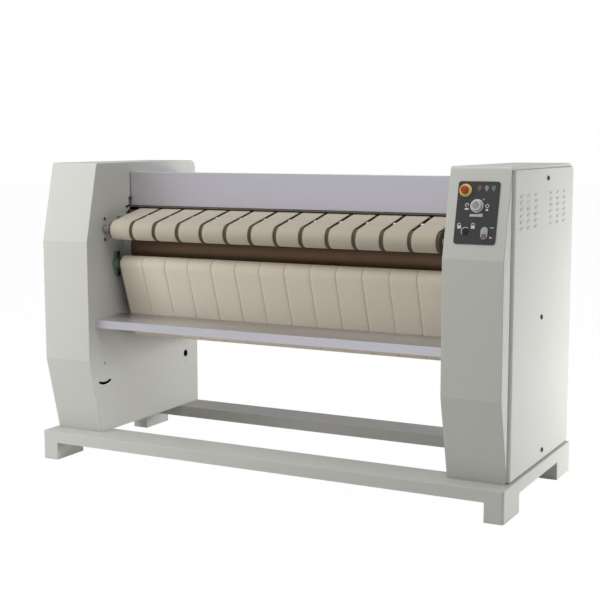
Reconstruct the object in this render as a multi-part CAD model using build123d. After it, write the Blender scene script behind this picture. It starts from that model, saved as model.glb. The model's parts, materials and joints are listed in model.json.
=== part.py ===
from build123d import *

import os
from math import atan2, ceil, cos, hypot, pi, sin, sqrt

# Flatwork ironer with a heated cylinder, feed belts above and ironing belts around it.
# Millimetres. X runs along the cylinder, Y from the operator to the back, Z up, and the origin is
# on the floor under the middle of the machine.

# ---- overall ----
overall_length = 2120.0
overall_depth = 870.0
overall_height = 1300.0
sheet = 2.0  # every folded sheet
seat_gap = 0.3  # between pieces that move on each other or only rest
running_gap = 0.06  # radial, between a shaft and its hole
overshoot = 1.0  # how far a cutter runs past the face that it opens

# ---- base ----
foot_height = 76.0
foot_length = 76.0
foot_depth = 183.0
foot_wall = 4.0
beam_height = 49.0
beam_depth = 168.0
beam_wall = 3.0
side_beam_width = 76.0
corner_round = 10.0
edge_round = 3.0

# ---- cabinets ----
cabinet_width = 236.0
base_overhang = 20.0
nose_setback = 10.0  # cabinet's front behind the base's front
toe_run = 80.0  # how far the lower front leans back
brow_run = 80.0  # how far the upper front leans back
toe_height = 326.0  # slanted lower front, above the base
brow_height = 335.0  # slanted upper front, below the top
brow_round = 13.0
rear_round = 36.0

# ---- side covers and their locks ----
cover_depth = 20.0
cover_gap = 12.0
cover_front = -331.0
cover_head = 14.0  # strip of shell above the cover
cover_clearance = 0.3
cover_proud = 6.0  # beyond the cabinet's own outer face
cover_bend = 12.0  # rounded front edge of the cover, and of the shell beside it
rim_width = 25.0
rail_height = 38.0
rail_drop = 577.0  # below the seat's top edge
rim_bottom = 65.0
rim_top = 61.0
lock_top = (74.0, 39.0)  # Y, and below the seat's top edge
lock_middle_y = 25.0
lock_bottom = (71.0, 43.0)  # Y, and above the base
lock_head_radius = 9.5
lock_head_height = 5.0
lock_barrel_radius = 8.0
lock_nose_radius = 5.0
lock_wing_length = 18.0
lock_wing_width = 5.0
lock_wing_thickness = 3.0
lock_hole_radius = 11.0
vent_columns = [-251.0, -166.0, -75.0, 120.0, 214.0, 306.0]
vent_rows = 6
vent_drop = 96.0  # top row below the seat's top edge
vent_pitch = 24.0
vent_length = 32.0
vent_height = 6.0

# ---- holes in the inner walls: Y, and height above the base ----
pivot_offset = (-318.0, 303.0)
pivot_hole_radius = 4.5
arc_slot_radius = 88.0
arc_slot_width = 12.0
arc_slot_start = 245.0
arc_slot_sweep = 51.0
spare_offset = (328.0, 249.0)
spare_hole_radius = 16.5
small_offsets = [(-227.0, 176.0), (240.0, 177.0)]
small_hole_radius = 3.0

# ---- heated cylinder ----
cylinder_drop = 380.0  # axis below the cabinets' top
cylinder_radius = 165.0
cylinder_wall = 8.0
cylinder_end_gap = 49.0  # from the cylinder's end to the inner wall
flange_inset = 20.0
flange_thickness = 12.0
journal_radius = 35.0
journal_bore = 25.0
journal_overhang = 4.0  # past the sprockets on the left
journal_overhang_right = 16.0  # past the bearing
cylinder_housing = 170.0
cylinder_housing_thickness = 16.0
cylinder_boss_radius = 62.0
cylinder_boss_reach = 40.0
cylinder_bolt_offset = 70.0
wall_journal_gap = 10.0
end_ring_gap = 9.0
end_ring_radius = 163.0
end_ring_wall = 13.0

# ---- heating elements ----
element_radius = 6.0
element_circle = 105.0
element_count = 6
element_inset = 35.0  # from the cylinder's end
carrier_radius = 20.0
carrier_wall = 4.0
spider_radius = 125.0
spider_thickness = 5.0
spider_inset = 115.0  # outer spiders, from the cylinder's end
carrier_overhang = 18.0
bracket_thickness = 6.0
bracket_half_height = 158.0
bracket_width = 50.0
bracket_tilt = 30.0  # clears the nose roller's bearing
standoff_radius = 8.0
standoff_offset = 140.0

# ---- rollers and belts: each roller's place is measured from the cylinder's axis ----
belt_count = 13
belt_end_clearance = 3.0  # from the roller's end to the outermost belt's pitch
feed_belt_gap = 15.0
ironing_belt_gap = 0.8
belt_thickness = 3.0
roller_end_gap = 47.0  # from the roller's end to the inner wall
roller_wall = 4.0
roller_end = 14.0
roller_journal_radius = 10.0
roller_vent_radius = 2.5
feed_front_offset = (-297.0, 94.0)
feed_front_radius = 38.7
feed_rear_offset = (-107.0, 159.0)
feed_rear_radius = 14.7
nose_offset = (-15.0, 192.0)
nose_radius = 16.7
delivery_offset = (-222.0, -61.0)
delivery_radius = 34.7
lower_offset = (-124.0, -351.0)
lower_radius = 34.7
tension_offset = (190.0, -320.0)
tension_radius = 21.7
back_return_offset = (235.0, 180.0)
back_return_radius = 16.7
support_bar_radius = 8.0
support_bar_from_rear = 92.0

# ---- two-bolt flange bearings ----
bearing_bolt_offset = 45.0
bearing_ear_radius = 11.5
bearing_hub_radius = 26.0
bearing_plate = 13.0
bearing_boss_radius = 22.0
bearing_boss_reach = 25.0
bearing_ring_radius = 15.0
bearing_reach = 30.0
bolt_radius = 4.9
bolt_hole_radius = 5.5
bolt_head_radius = 9.2
bolt_head_height = 6.4
flat_head_radius = 6.5
flat_head_height = 2.5
bolt_tail = 8.0
shaft_hole_radius = 15.0
feed_shaft_hole_radius = 19.5

# ---- hood, rear cover and tie bar ----
panel_front = -104.0
panel_lift = 190.0  # bottom edge above the cylinder's axis
panel_height = 148.0
panel_end_gap = 6.0
panel_return = 12.0
hood_step = 24.0  # behind the panel's front, where the hood widens to the walls
hood_back_inset = 20.0  # from the cabinets' back
hood_drop = 70.0
hood_lip = 34.0
hood_flange = 22.0
rear_cover_lift = 330.0  # above the base
rear_cover_return = 20.0
rear_slot_length = 150.0
rear_slot_height = 7.0
rear_slot_pitch_x = 200.0
rear_slot_pitch_z = 22.0
rear_slot_margin = 200.0
rear_slot_rows = 8
rear_slot_drop = 127.0  # top row below the cover's top
tie_bar_depth = 40.0
tie_bar_height = 44.0
tie_bar_wall = 3.0

# ---- finger guard ----
guard_pin_offset = (-6.0, 31.0)  # from the panel's front bottom edge
guard_pin_radius = 4.0
guard_pin_head = 5.5
guard_pin_head_height = 3.0
guard_arm_thickness = 3.0
guard_arm_gap = 1.0
guard_eye_radius = 8.5
guard_bar_ahead = 9.0  # of the panel's front
guard_bar_depth = 10.0
guard_bar_drop = 3.0  # below the panel
guard_bar_height = 4.5

# ---- receiving shelf ----
shelf_front = -380.0
shelf_back = -190.0
shelf_drop = 292.0  # front edge's top, below the cylinder's axis
shelf_rise = 8.0
shelf_lip = 35.0
shelf_hem = 12.0
shelf_back_lip = 15.0
shelf_bracket_setback = 14.0  # behind the cabinet's front
shelf_bracket_inset = 10.0  # from the shelf's back
shelf_bracket_height = 36.0
shelf_ledge = 24.0
shelf_ledge_thickness = 3.0

# ---- drive, in the left cabinet ----
chain_pitch = 12.7
roller_chain_radius = 4.0
sprocket_thickness = 6.0
cylinder_drive_teeth = 50
feed_drive_teeth = 56
feed_sprocket_teeth = 14
motor_sprocket_teeth = 15
chain_plate_half = 5.0
chain_plate_thickness = 1.6
drive_hub_gap = 13.0  # from the cylinder's bearing to the sprockets' hub
chain_spacing = 18.0
sprocket_hub_wall = 10.0
small_hub_radius = 17.0
feed_journal_overhang = 1.0
motor_place_offset = (190.0, -490.0)  # from the cylinder's axis
motor_shaft_radius = 12.5
motor_shaft_depth = 30.0
gearbox_half = 62.0
gearbox_depth = 40.0
gearbox_floor = 14.0
motor_offset = 72.0  # motor's axis from the wall
motor_drop = 50.0  # motor's axis below the output shaft
motor_radius = 58.0
motor_length = 180.0
motor_fins = 9
motor_fin_height = 4.0

# ---- controls, on the slanted front of the right cabinet ----
# Each control's place is measured from the plate's top left corner: across, and down the slope.
plate_inset = 38.0  # from the cabinet's inner side
plate_width = 159.0
plate_start = 56.0  # along the slope, from its top edge
plate_height = 231.0
plate_round = 11.0
plate_thickness = 3.0
stop_offset = (30.0, 34.0)
stop_ring_radius = 23.5
stop_ring_height = 4.0
stop_head_radius = 15.0
stop_head_height = 14.0
stop_head_lift = 11.0
stop_travel = 4.0
dial_offset = (79.0, 91.0)
dial_radius = 25.0
dial_height = 16.0
dial_stem_radius = 3.0
key_offset = (42.0, 185.0)
key_ring_radius = 12.5
key_ring_height = 3.0
key_core_height = 4.5
key_slot_width = 1.6
key_slot_length = 9.0
key_slot_depth = 4.0
barrel_radius = 11.0
barrel_bore = 8.0
barrel_depth = 32.0
nut_radius = 14.0
nut_height = 5.0
contact_block = (30.0, 40.0, 24.0)
pair_offset = (116.0, 190.0)
bezel_width = 26.0
bezel_height = 45.0
bezel_rise = 6.0
bezel_depth = 14.0
button_width = 17.0
button_height = 15.0
button_offset = 10.5
button_round = 3.0
start_rise = 7.0
halt_rise = 9.0
button_travel = 3.0

# ---- electrics, in the right cabinet ----
panel_plate_gap = 34.0  # clears the roller bearings
panel_plate_thickness = 3.0
panel_plate_front = 40.0
panel_plate_depth = 360.0
panel_plate_lift = 25.0  # above the base
panel_plate_height = 350.0
panel_post_radius = 5.0
panel_post_inset = 18.0
inverter_size = (110.0, 90.0, 180.0)
inverter_corner = (30.0, 110.0)  # from the plate's front bottom corner
contactor_size = (85.0, 45.0, 75.0)
contactor_corner = (160.0, 200.0)
contactor_pitch = 55.0
contactor_count = 3
terminal_size = (45.0, 280.0, 40.0)
terminal_corner = (40.0, 40.0)
gland_y = 200.0
gland_thread_radius = 10.0
gland_bore_radius = 5.0  # through the dome nut and hexagon
gland_inner_radius = 7.0  # above them, through the floor
gland_hex_radius = 14.0
gland_hex_height = 8.0
gland_dome_height = 16.0
gland_nut_height = 6.0

# ---- derived ----
base_top = foot_height + beam_height
half_length = overall_length / 2
half_depth = overall_depth / 2
cabinet_outer = half_length - base_overhang
cabinet_inner = cabinet_outer - cabinet_width
wall_outer = cabinet_inner + sheet  # the wall's face inside the cabinet
seat_x = cabinet_outer - cover_depth
cover_outer = cabinet_outer + cover_proud
nose_front = -half_depth + nose_setback
toe_front = nose_front + toe_run
brow_front = nose_front + brow_run
toe_top = base_top + toe_height
brow_bottom = overall_height - brow_height

cover_top = overall_height - cover_head
rail_centre = cover_top - rail_drop
lock_places = [
    ("top", lock_top[0], cover_top - lock_top[1]),
    ("middle", lock_middle_y, rail_centre),
    ("bottom", lock_bottom[0], base_top + lock_bottom[1]),
]
lock_wing_x = seat_x - 3 * sheet - lock_wing_thickness

pivot_place = (pivot_offset[0], base_top + pivot_offset[1])
spare_place = (spare_offset[0], base_top + spare_offset[1])
small_places = [(y, base_top + z) for y, z in small_offsets]

cylinder_place = (0.0, overall_height - cylinder_drop)
cylinder_half = cabinet_inner - cylinder_end_gap
drive_chain_x = -(wall_outer + cylinder_boss_reach + drive_hub_gap + sprocket_thickness)
feed_chain_x = drive_chain_x - chain_spacing
journal_reach_left = -feed_chain_x + sprocket_thickness + journal_overhang
journal_reach_right = wall_outer + cylinder_boss_reach + journal_overhang_right
element_half = cylinder_half - element_inset
spider_places = [spider_inset - cylinder_half, 0.0, cylinder_half - spider_inset]


def from_cylinder(offset_by):
    """Place in Y and Z at an offset from the cylinder's axis."""
    return cylinder_place[0] + offset_by[0], cylinder_place[1] + offset_by[1]


feed_front = from_cylinder(feed_front_offset)
feed_rear = from_cylinder(feed_rear_offset)
nose = from_cylinder(nose_offset)
delivery = from_cylinder(delivery_offset)
lower = from_cylinder(lower_offset)
tension = from_cylinder(tension_offset)
back_return = from_cylinder(back_return_offset)
motor_place = from_cylinder(motor_place_offset)
roller_half = cabinet_inner - roller_end_gap
belt_pitch = 2 * (roller_half - belt_end_clearance) / belt_count
small_hub_half = sprocket_thickness + sheet
feed_journal_reach = -feed_chain_x + small_hub_half + feed_journal_overhang
feed_belt_inner = (feed_front_radius + seat_gap, feed_rear_radius + seat_gap)
rollers_in_cabinet = [feed_front, feed_rear, nose, tension, back_return]
ironing_places = [nose, delivery, lower, tension, back_return]
ironing_radii = [nose_radius, delivery_radius, lower_radius, tension_radius, back_return_radius]

panel_bottom = cylinder_place[1] + panel_lift
panel_top = panel_bottom + panel_height
hood_back = half_depth - hood_back_inset
rear_cover_bottom = base_top + rear_cover_lift
rear_slot_columns = int((2 * cabinet_inner - rear_slot_margin) // rear_slot_pitch_x)
guard_pin = (panel_front + guard_pin_offset[0], panel_bottom + guard_pin_offset[1])
guard_bar_front = panel_front - guard_bar_ahead
guard_bar_back = guard_bar_front + guard_bar_depth
guard_bar_top = panel_bottom - guard_bar_drop
guard_bar_bottom = guard_bar_top - guard_bar_height
shelf_front_top = cylinder_place[1] - shelf_drop
shelf_bracket_front = nose_front + shelf_bracket_setback
shelf_bracket_back = shelf_back - shelf_bracket_inset
shelf_bracket_bottom = shelf_front_top - shelf_bracket_height

plate_left = cabinet_inner + plate_inset
stop_place = (plate_left + stop_offset[0], plate_start + stop_offset[1])
dial_place = (plate_left + dial_offset[0], plate_start + dial_offset[1])
key_place = (plate_left + key_offset[0], plate_start + key_offset[1])
pair_place = (plate_left + pair_offset[0], plate_start + pair_offset[1])
gland_place = (cabinet_inner + cabinet_width / 2, gland_y)


# ---- helpers ----
def beyond(values):
    """The two values, widened so that a cutter runs past both faces."""
    return values[0] - overshoot, values[1] + overshoot


def block(x, y, z):
    """Box between the two values of x, of y and of z."""
    size = (x[1] - x[0], y[1] - y[0], z[1] - z[0])
    return Pos(sum(x) / 2, sum(y) / 2, sum(z) / 2) * Box(*size)


def rod(x, place, radius):
    """Cylinder along X, between the two values of x."""
    return Pos(sum(x) / 2, *place) * Rot(0, 90, 0) * Cylinder(radius, x[1] - x[0])


def tube(x, place, radius, bore):
    return rod(x, place, radius) - rod(beyond(x), place, bore)


def outline(points, rounds=()):
    """Face in Y and Z through the points, with some corners rounded: (index, radius) pairs."""
    face = make_face(Polyline(*points, close=True))
    for index, radius in rounds:
        corner = face.vertices().sort_by_distance((*points[index], 0))[0]
        face = fillet(corner, radius)
    return face


def prism(face, x):
    """A face in Y and Z, carried along X between the two values of x."""
    return extrude(Plane.YZ.offset(x[0]) * face, amount=x[1] - x[0], dir=(1, 0, 0))


def mirrored(shape):
    return mirror(shape, about=Plane.YZ)


def leg_normal(start, end):
    """Outward normal of the straight leg between two circles (y, z, r) of a loop.

    The loop runs anticlockwise round a circle with a positive r and clockwise round a negative one.
    """
    dy = end[0] - start[0]
    dz = end[1] - start[1]
    length = hypot(dy, dz)
    cosine = (start[2] - end[2]) / length
    sine = sqrt(1 - cosine**2)
    return (dy * cosine + dz * sine) / length, (dz * cosine - dy * sine) / length


def on_circle(circle, normal):
    return circle[0] + circle[2] * normal[0], circle[1] + circle[2] * normal[1]


def loop_face(circles):
    """Face inside the closed path that runs tangent from circle to circle."""
    count = len(circles)
    normals = [leg_normal(circles[i], circles[(i + 1) % count]) for i in range(count)]
    edges = []
    for i, circle in enumerate(circles):
        y, z, radius = circle
        arrive = on_circle(circle, normals[i - 1])
        leave = on_circle(circle, normals[i])
        start = atan2(arrive[1] - z, arrive[0] - y)
        turn = (atan2(leave[1] - z, leave[0] - y) - start) % (2 * pi)
        if radius < 0:
            turn -= 2 * pi
        half_way = start + turn / 2
        middle = (y + abs(radius) * cos(half_way), z + abs(radius) * sin(half_way))
        follower = circles[(i + 1) % count]
        edges.append(ThreePointArc(arrive, middle, leave))
        edges.append(Line(leave, on_circle(follower, normals[i])))
    return make_face(edges)


def band(inner, outer, x):
    """Closed band between two loops, as wide as x says."""
    return prism(loop_face(outer) - loop_face(inner), x)


def belt_centres():
    return [(i - (belt_count - 1) / 2) * belt_pitch for i in range(belt_count)]


def edge_trim(x, y, z, radius, side):
    """Cutter that rounds an upright edge at x and y. Side is 1 for the front edge, or -1."""
    centre = (x - radius, y + side * radius)
    outer = y - side * overshoot
    corner = block(
        (centre[0], x + overshoot), (min(outer, centre[1]), max(outer, centre[1])), z
    )
    height = z[1] - z[0]
    return corner - Pos(*centre, (z[0] + z[1]) / 2) * Cylinder(radius, height + overshoot)


def slot_cutter(x, y, z, length, height):
    """Slot with round ends through a sheet that is square to X."""
    ends = length / 2 - height / 2
    cutter = block(x, (y - ends, y + ends), (z - height / 2, z + height / 2))
    return cutter + rod(x, (y - ends, z), height / 2) + rod(x, (y + ends, z), height / 2)


def export(node, *pieces):
    solids = [solid for piece in pieces for solid in piece.solids()]
    shape = solids[0] if len(solids) == 1 else Compound(children=solids)
    export_step(shape, f"parts/{node}.step")


# ---- base ----
def long_beam():
    """Front beam: a channel open downwards, with rounded outer corners."""
    x = (-half_length, half_length)
    y = (-half_depth, -half_depth + beam_depth)
    beam = block(x, y, (foot_height, base_top))
    corners = beam.edges().filter_by(Axis.Z).filter_by(lambda e: e.center().Y < y[0] + beam_wall)
    beam = fillet(corners, corner_round)
    beam = fillet(beam.faces().sort_by(Axis.Z)[-1].edges().sort_by(Axis.Y)[:3], edge_round)
    inside = block(
        (x[0] + beam_wall, x[1] - beam_wall),
        (y[0] + beam_wall, y[1] - beam_wall),
        (foot_height - overshoot, base_top - beam_wall),
    )
    return beam - fillet(inside.edges().filter_by(Axis.Z), corner_round - beam_wall)


def side_beam():
    x = (half_length - side_beam_width, half_length)
    y = (-half_depth + beam_depth, half_depth - beam_depth)
    beam = block(x, y, (foot_height, base_top))
    top_edge = beam.edges().filter_by(Axis.Y).sort_by(lambda e: e.center().X + e.center().Z)[-1]
    beam = fillet(top_edge, edge_round)
    inside = (x[0] + beam_wall, x[1] - beam_wall)
    return beam - block(inside, beyond(y), (foot_height - overshoot, base_top - beam_wall))


def foot():
    """Right front foot: a closed box, open at the top under the beam."""
    x = (half_length - foot_length, half_length)
    y = (-half_depth, -half_depth + foot_depth)
    body = block(x, y, (0, foot_height))
    corner = body.edges().filter_by(Axis.Z).sort_by(lambda e: e.center().X - e.center().Y)[-1]
    body = fillet(corner, corner_round)
    inside = block(
        (x[0] + foot_wall, x[1] - foot_wall),
        (y[0] + foot_wall, y[1] - foot_wall),
        (foot_wall, foot_height + overshoot),
    )
    corner = inside.edges().filter_by(Axis.Z).sort_by(lambda e: e.center().X - e.center().Y)[-1]
    return body - fillet(corner, corner_round - foot_wall)


def base():
    front = long_beam()
    export("front_beam", front)
    export("rear_beam", mirror(front, about=Plane.XZ))
    side = side_beam()
    export("side_beams", side, mirrored(side))
    front_foot = foot()
    rear_foot = mirror(front_foot, about=Plane.XZ)
    export("feet", front_foot, rear_foot, mirrored(front_foot), mirrored(rear_foot))


# ---- cabinets ----
def cabinet_profile():
    points = [
        (toe_front, base_top),
        (nose_front, toe_top),
        (nose_front, brow_bottom),
        (brow_front, overall_height),
        (half_depth, overall_height),
        (half_depth, base_top),
    ]
    return outline(points, [(3, brow_round), (4, rear_round)])


def bearing_turn(place):
    """Offset of a bearing's bolts: flat at the lower roller, upright elsewhere."""
    return (bearing_bolt_offset, 0) if place == lower else (0, bearing_bolt_offset)


def wall_holes():
    """Cutters for the holes in the right cabinet's inner wall."""
    x = beyond((cabinet_inner, wall_outer))
    cutters = [rod(x, cylinder_place, journal_radius + wall_journal_gap)]
    for place in rollers_in_cabinet + [delivery, lower]:
        radius = feed_shaft_hole_radius if place == feed_front else shaft_hole_radius
        cutters.append(rod(x, place, radius))
        dy, dz = bearing_turn(place)
        for side in (-1, 1):
            bolt = (place[0] + side * dy, place[1] + side * dz)
            cutters.append(rod(x, bolt, bolt_hole_radius))
    for y, z in cylinder_bolt_places():
        cutters.append(rod(x, (y, z), bolt_hole_radius))
    cutters.append(rod(x, pivot_place, pivot_hole_radius))
    cutters.append(rod(x, spare_place, spare_hole_radius))
    for side in (-1, 1):
        ear = (spare_place[0], spare_place[1] + side * bearing_bolt_offset)
        cutters.append(rod(x, ear, small_hole_radius))
    for place in small_places:
        cutters.append(rod(x, place, small_hole_radius))
    arc = CenterArc(pivot_place, arc_slot_radius, arc_slot_start, arc_slot_sweep)
    cutters.append(prism(SlotArc(arc, arc_slot_width), x))
    return cutters


def cabinet_shell():
    """Right cabinet: folded sheet with a recessed seat for the side cover."""
    profile = cabinet_profile()
    shell = prism(profile, (cabinet_inner, cabinet_outer))
    for face in (shell.faces().sort_by(Axis.X)[0], shell.faces().sort_by(Axis.X)[-1]):
        level = face.center().X
        rim = shell.edges().filter_by(lambda e: abs(e.center().X - level) < sheet / 2)
        rim = rim.filter_by(lambda e: e.center().Z > base_top + sheet)
        shell = fillet(rim, edge_round)
    step_y = cover_front - cover_gap
    past = half_depth + overshoot
    below = base_top - overshoot
    shell -= block((seat_x, cabinet_outer + overshoot), (step_y, past), (below, cover_top))
    shell -= edge_trim(cabinet_outer, step_y, (below, cover_top), cover_bend, -1)
    hollow = prism(offset(profile, -sheet), (wall_outer, cabinet_outer - sheet))
    hollow -= block(
        (seat_x - sheet, cabinet_outer),
        (step_y - sheet, past),
        (below, cover_top + sheet),
    )
    hollow -= edge_trim(
        cabinet_outer - sheet, step_y - sheet, (below, cover_top + sheet), cover_bend - sheet, -1
    )
    shell -= hollow
    window_x = beyond((seat_x - sheet, seat_x))
    window_y = (step_y + rim_width, half_depth - rim_width)
    rail = (rail_centre - rail_height / 2, rail_centre + rail_height / 2)
    shell -= block(window_x, window_y, (base_top + rim_bottom, rail[0]))
    shell -= block(window_x, window_y, (rail[1], cover_top - rim_top))
    for name, y, z in lock_places:
        shell -= rod(window_x, (y, z), lock_hole_radius)
    return shell - wall_holes()


def side_cover():
    """Right side cover: a tray that closes the cabinet's outer side."""
    x = (seat_x + seat_gap, cover_outer)
    y = (cover_front, half_depth)
    z = (base_top + edge_round, cover_top - cover_clearance)
    profile = cabinet_profile()
    tray = block(x, y, z) & prism(profile, x)
    tray -= edge_trim(x[1], y[0], beyond(z), cover_bend, 1)
    rim = tray.faces().sort_by(Axis.X)[-1].edges().sort_by(Axis.Y)[1:]
    tray = fillet(rim, edge_round)
    inner = [(low + sheet, high - sheet) for low, high in (y, z)]
    inside_x = (x[0] - overshoot, x[1] - sheet)
    inside = block(inside_x, *inner) & prism(offset(profile, -sheet), inside_x)
    inside -= edge_trim(x[1] - sheet, inner[0][0], beyond(inner[1]), cover_bend - sheet, 1)
    tray -= inside
    through = beyond((x[1] - sheet, x[1]))
    cutters = [rod(through, (y, z), lock_barrel_radius + running_gap) for name, y, z in lock_places]
    for column in vent_columns:
        for row in range(vent_rows):
            level = cover_top - vent_drop - row * vent_pitch
            cutters.append(slot_cutter(through, column, level, vent_length, vent_height))
    return tray - cutters


def cover_lock(y, z):
    """Quarter-turn lock: slotted head, barrel through the cover, wing behind the rail."""
    place = (y, z)
    head_x = (cover_outer, cover_outer + lock_head_height)
    head = rod(head_x, place, lock_head_radius)
    head = chamfer(head.faces().sort_by(Axis.X)[-1].edges(), lock_head_height / 3)
    slot_x = (cover_outer + lock_head_height / 3, cover_outer + lock_head_height + overshoot)
    slot = (lock_head_radius * 0.7, lock_head_radius * 0.1)
    head -= block(slot_x, (y - slot[1], y + slot[1]), (z - slot[0], z + slot[0]))
    barrel = rod((cover_outer - lock_barrel_radius, cover_outer), place, lock_barrel_radius)
    nose_part = rod((lock_wing_x, cover_outer - lock_barrel_radius), place, lock_nose_radius)
    wing = block(
        (lock_wing_x, lock_wing_x + lock_wing_thickness),
        (y - lock_wing_length / 2, y + lock_wing_length / 2),
        (z - lock_wing_width / 2, z + lock_wing_width / 2),
    )
    return head + barrel + nose_part + wing


def on_slope(x, down, rise=0.0):
    """Place on the right cabinet's slanted front: down the slope, and out from it."""
    drop = overall_height - brow_bottom
    run = nose_front - brow_front
    length = hypot(drop, run)
    outward = (0, -drop / length, -run / length)
    slope = Plane(origin=(0, brow_front, overall_height), x_dir=(1, 0, 0), z_dir=outward)
    return slope.location * Pos(x, -down, rise)


def control_holes():
    """Cutters for the switches, through the control plate and the cabinet's front."""
    depth = 6 * sheet
    cutters = [on_slope(*place) * Cylinder(barrel_radius, depth) for place in (stop_place, key_place)]
    cutters.append(on_slope(*dial_place) * Cylinder(barrel_radius / 2, depth))
    opening = RectangleRounded(bezel_width - 2 * sheet, bezel_height - 2 * sheet, bezel_width / 3)
    cutters.append(on_slope(*pair_place, -depth / 2) * extrude(opening, depth))
    return cutters


def cabinets():
    left = mirrored(cabinet_shell())
    right = cabinet_shell() - control_holes()
    right -= Pos(*gland_place, base_top) * Cylinder(gland_thread_radius + seat_gap, 4 * sheet)
    export("left_cabinet_shell", left)
    export("right_cabinet_shell", right)
    cover = side_cover()
    export("right_side_cover", cover)
    export("left_side_cover", mirrored(cover))
    for name, y, z in lock_places:
        lock = cover_lock(y, z)
        export(f"right_lock_{name}", lock)
        export(f"left_lock_{name}", mirrored(lock))


# ---- hood, rear cover, tie bar ----
def hood_level(y):
    """Height of the hood's top at a given depth: it falls towards the back."""
    return panel_top - hood_drop * (y - panel_front) / (hood_back - panel_front)


def hood():
    """Front panel with a folded bottom edge, sloping top, rear lip and end flanges."""
    x = (-cabinet_inner, cabinet_inner)
    back_top = hood_level(hood_back)
    outer = [
        (panel_front, panel_bottom),
        (panel_front, panel_top),
        (hood_back, back_top),
        (hood_back, back_top - hood_lip),
        (panel_front + panel_return, panel_bottom),
    ]
    inner = [
        (panel_front + sheet, panel_bottom + sheet),
        (panel_front + sheet, hood_level(panel_front + sheet) - sheet),
        (hood_back - sheet, hood_level(hood_back - sheet) - sheet),
        (hood_back - sheet, panel_bottom - overshoot),
        (panel_front + panel_return, panel_bottom - overshoot),
        (panel_front + panel_return, panel_bottom + sheet),
    ]
    folded = prism(outline(outer, [(1, edge_round)]), x) - prism(outline(inner), x)
    step = panel_front + hood_step
    for side in (-1, 1):
        ends = sorted((side * (cabinet_inner - panel_end_gap), side * (cabinet_inner + overshoot)))
        folded -= block(ends, (panel_front - overshoot, step), beyond((panel_bottom, panel_top)))
    flange = [
        (step, hood_level(step) - sheet),
        (hood_back - sheet, hood_level(hood_back - sheet) - sheet),
        (hood_back - sheet, hood_level(hood_back - sheet) - hood_flange),
        (step, hood_level(step) - hood_flange),
    ]
    end = prism(outline(flange), (cabinet_inner - sheet, cabinet_inner))
    return folded + end + mirrored(end)


def rear_cover():
    """Flat sheet behind the belts, with louvre slots and returned ends."""
    x = (-cabinet_inner, cabinet_inner)
    top = hood_level(hood_back) - sheet
    cover = block(x, (hood_back, hood_back + sheet), (rear_cover_bottom, top))
    end_z = (rear_cover_bottom + tie_bar_height + 4 * sheet, top - hood_lip - sheet)
    end_y = (hood_back - rear_cover_return, hood_back)
    end = block((cabinet_inner - sheet, cabinet_inner), end_y, end_z)
    cover += [end, mirrored(end)]
    cutters = []
    for column in range(rear_slot_columns):
        x_slot = (column - (rear_slot_columns - 1) / 2) * rear_slot_pitch_x
        for row in range(rear_slot_rows):
            z_slot = top - rear_slot_drop - row * rear_slot_pitch_z
            slot = Rot(90, 0, 0) * SlotOverall(rear_slot_length, rear_slot_height)
            slot = Pos(x_slot, hood_back + sheet / 2, z_slot) * slot
            cutters.append(extrude(slot, sheet, both=True))
    return cover - cutters


def tie_bar():
    """Box-section bar between the inner walls, under the rear cover's bottom edge."""
    y = (hood_back - tie_bar_depth, hood_back)
    z = (rear_cover_bottom, rear_cover_bottom + tie_bar_height)
    x = (-cabinet_inner, cabinet_inner)
    bar = block(x, y, z)
    wall = tie_bar_wall
    return bar - block(beyond(x), (y[0] + wall, y[1] - wall), (z[0] + wall, z[1] - wall))


# ---- finger guard ----
def guard_arm_x():
    start = cabinet_inner - panel_end_gap + guard_arm_gap
    return start, start + guard_arm_thickness


def finger_guard():
    """Bar under the front panel, on two arms that hang from the pins."""
    x = guard_arm_x()
    shape = outline([
        (guard_bar_front, guard_bar_bottom),
        (guard_bar_front, guard_pin[1]),
        (guard_bar_back, guard_pin[1]),
        (guard_bar_back, guard_bar_bottom),
    ])
    arm = prism(shape, x) + rod(x, guard_pin, guard_eye_radius)
    arm -= rod(beyond(x), guard_pin, guard_pin_radius + running_gap)
    height = (guard_bar_bottom, guard_bar_top)
    bar = block((-x[1], x[1]), (guard_bar_front, guard_bar_back), height)
    lower_edges = bar.edges().filter_by(Axis.X).sort_by(Axis.Z)[:2]
    return fillet(lower_edges, edge_round / 2) + arm + mirrored(arm)


def guard_pins():
    """Pin with a collar on the wall and a head on the free end."""
    arm_x = guard_arm_x()
    head_x = (arm_x[0] - seat_gap - guard_pin_head_height, arm_x[0] - seat_gap)
    pin = rod((head_x[0], cabinet_inner), guard_pin, guard_pin_radius)
    pin += rod(head_x, guard_pin, guard_pin_head)
    pin += rod((arm_x[1] + seat_gap, cabinet_inner), guard_pin, guard_eye_radius - sheet)
    return pin


def middle_panels():
    export("hood", hood())
    export("rear_cover", rear_cover())
    export("rear_tie_bar", tie_bar())
    export("finger_guard", finger_guard())
    pin = guard_pins()
    export("guard_pins", pin, mirrored(pin))


# ---- receiving shelf ----
def shelf_level(y):
    return shelf_front_top + shelf_rise * (y - shelf_front) / (shelf_back - shelf_front)


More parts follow.
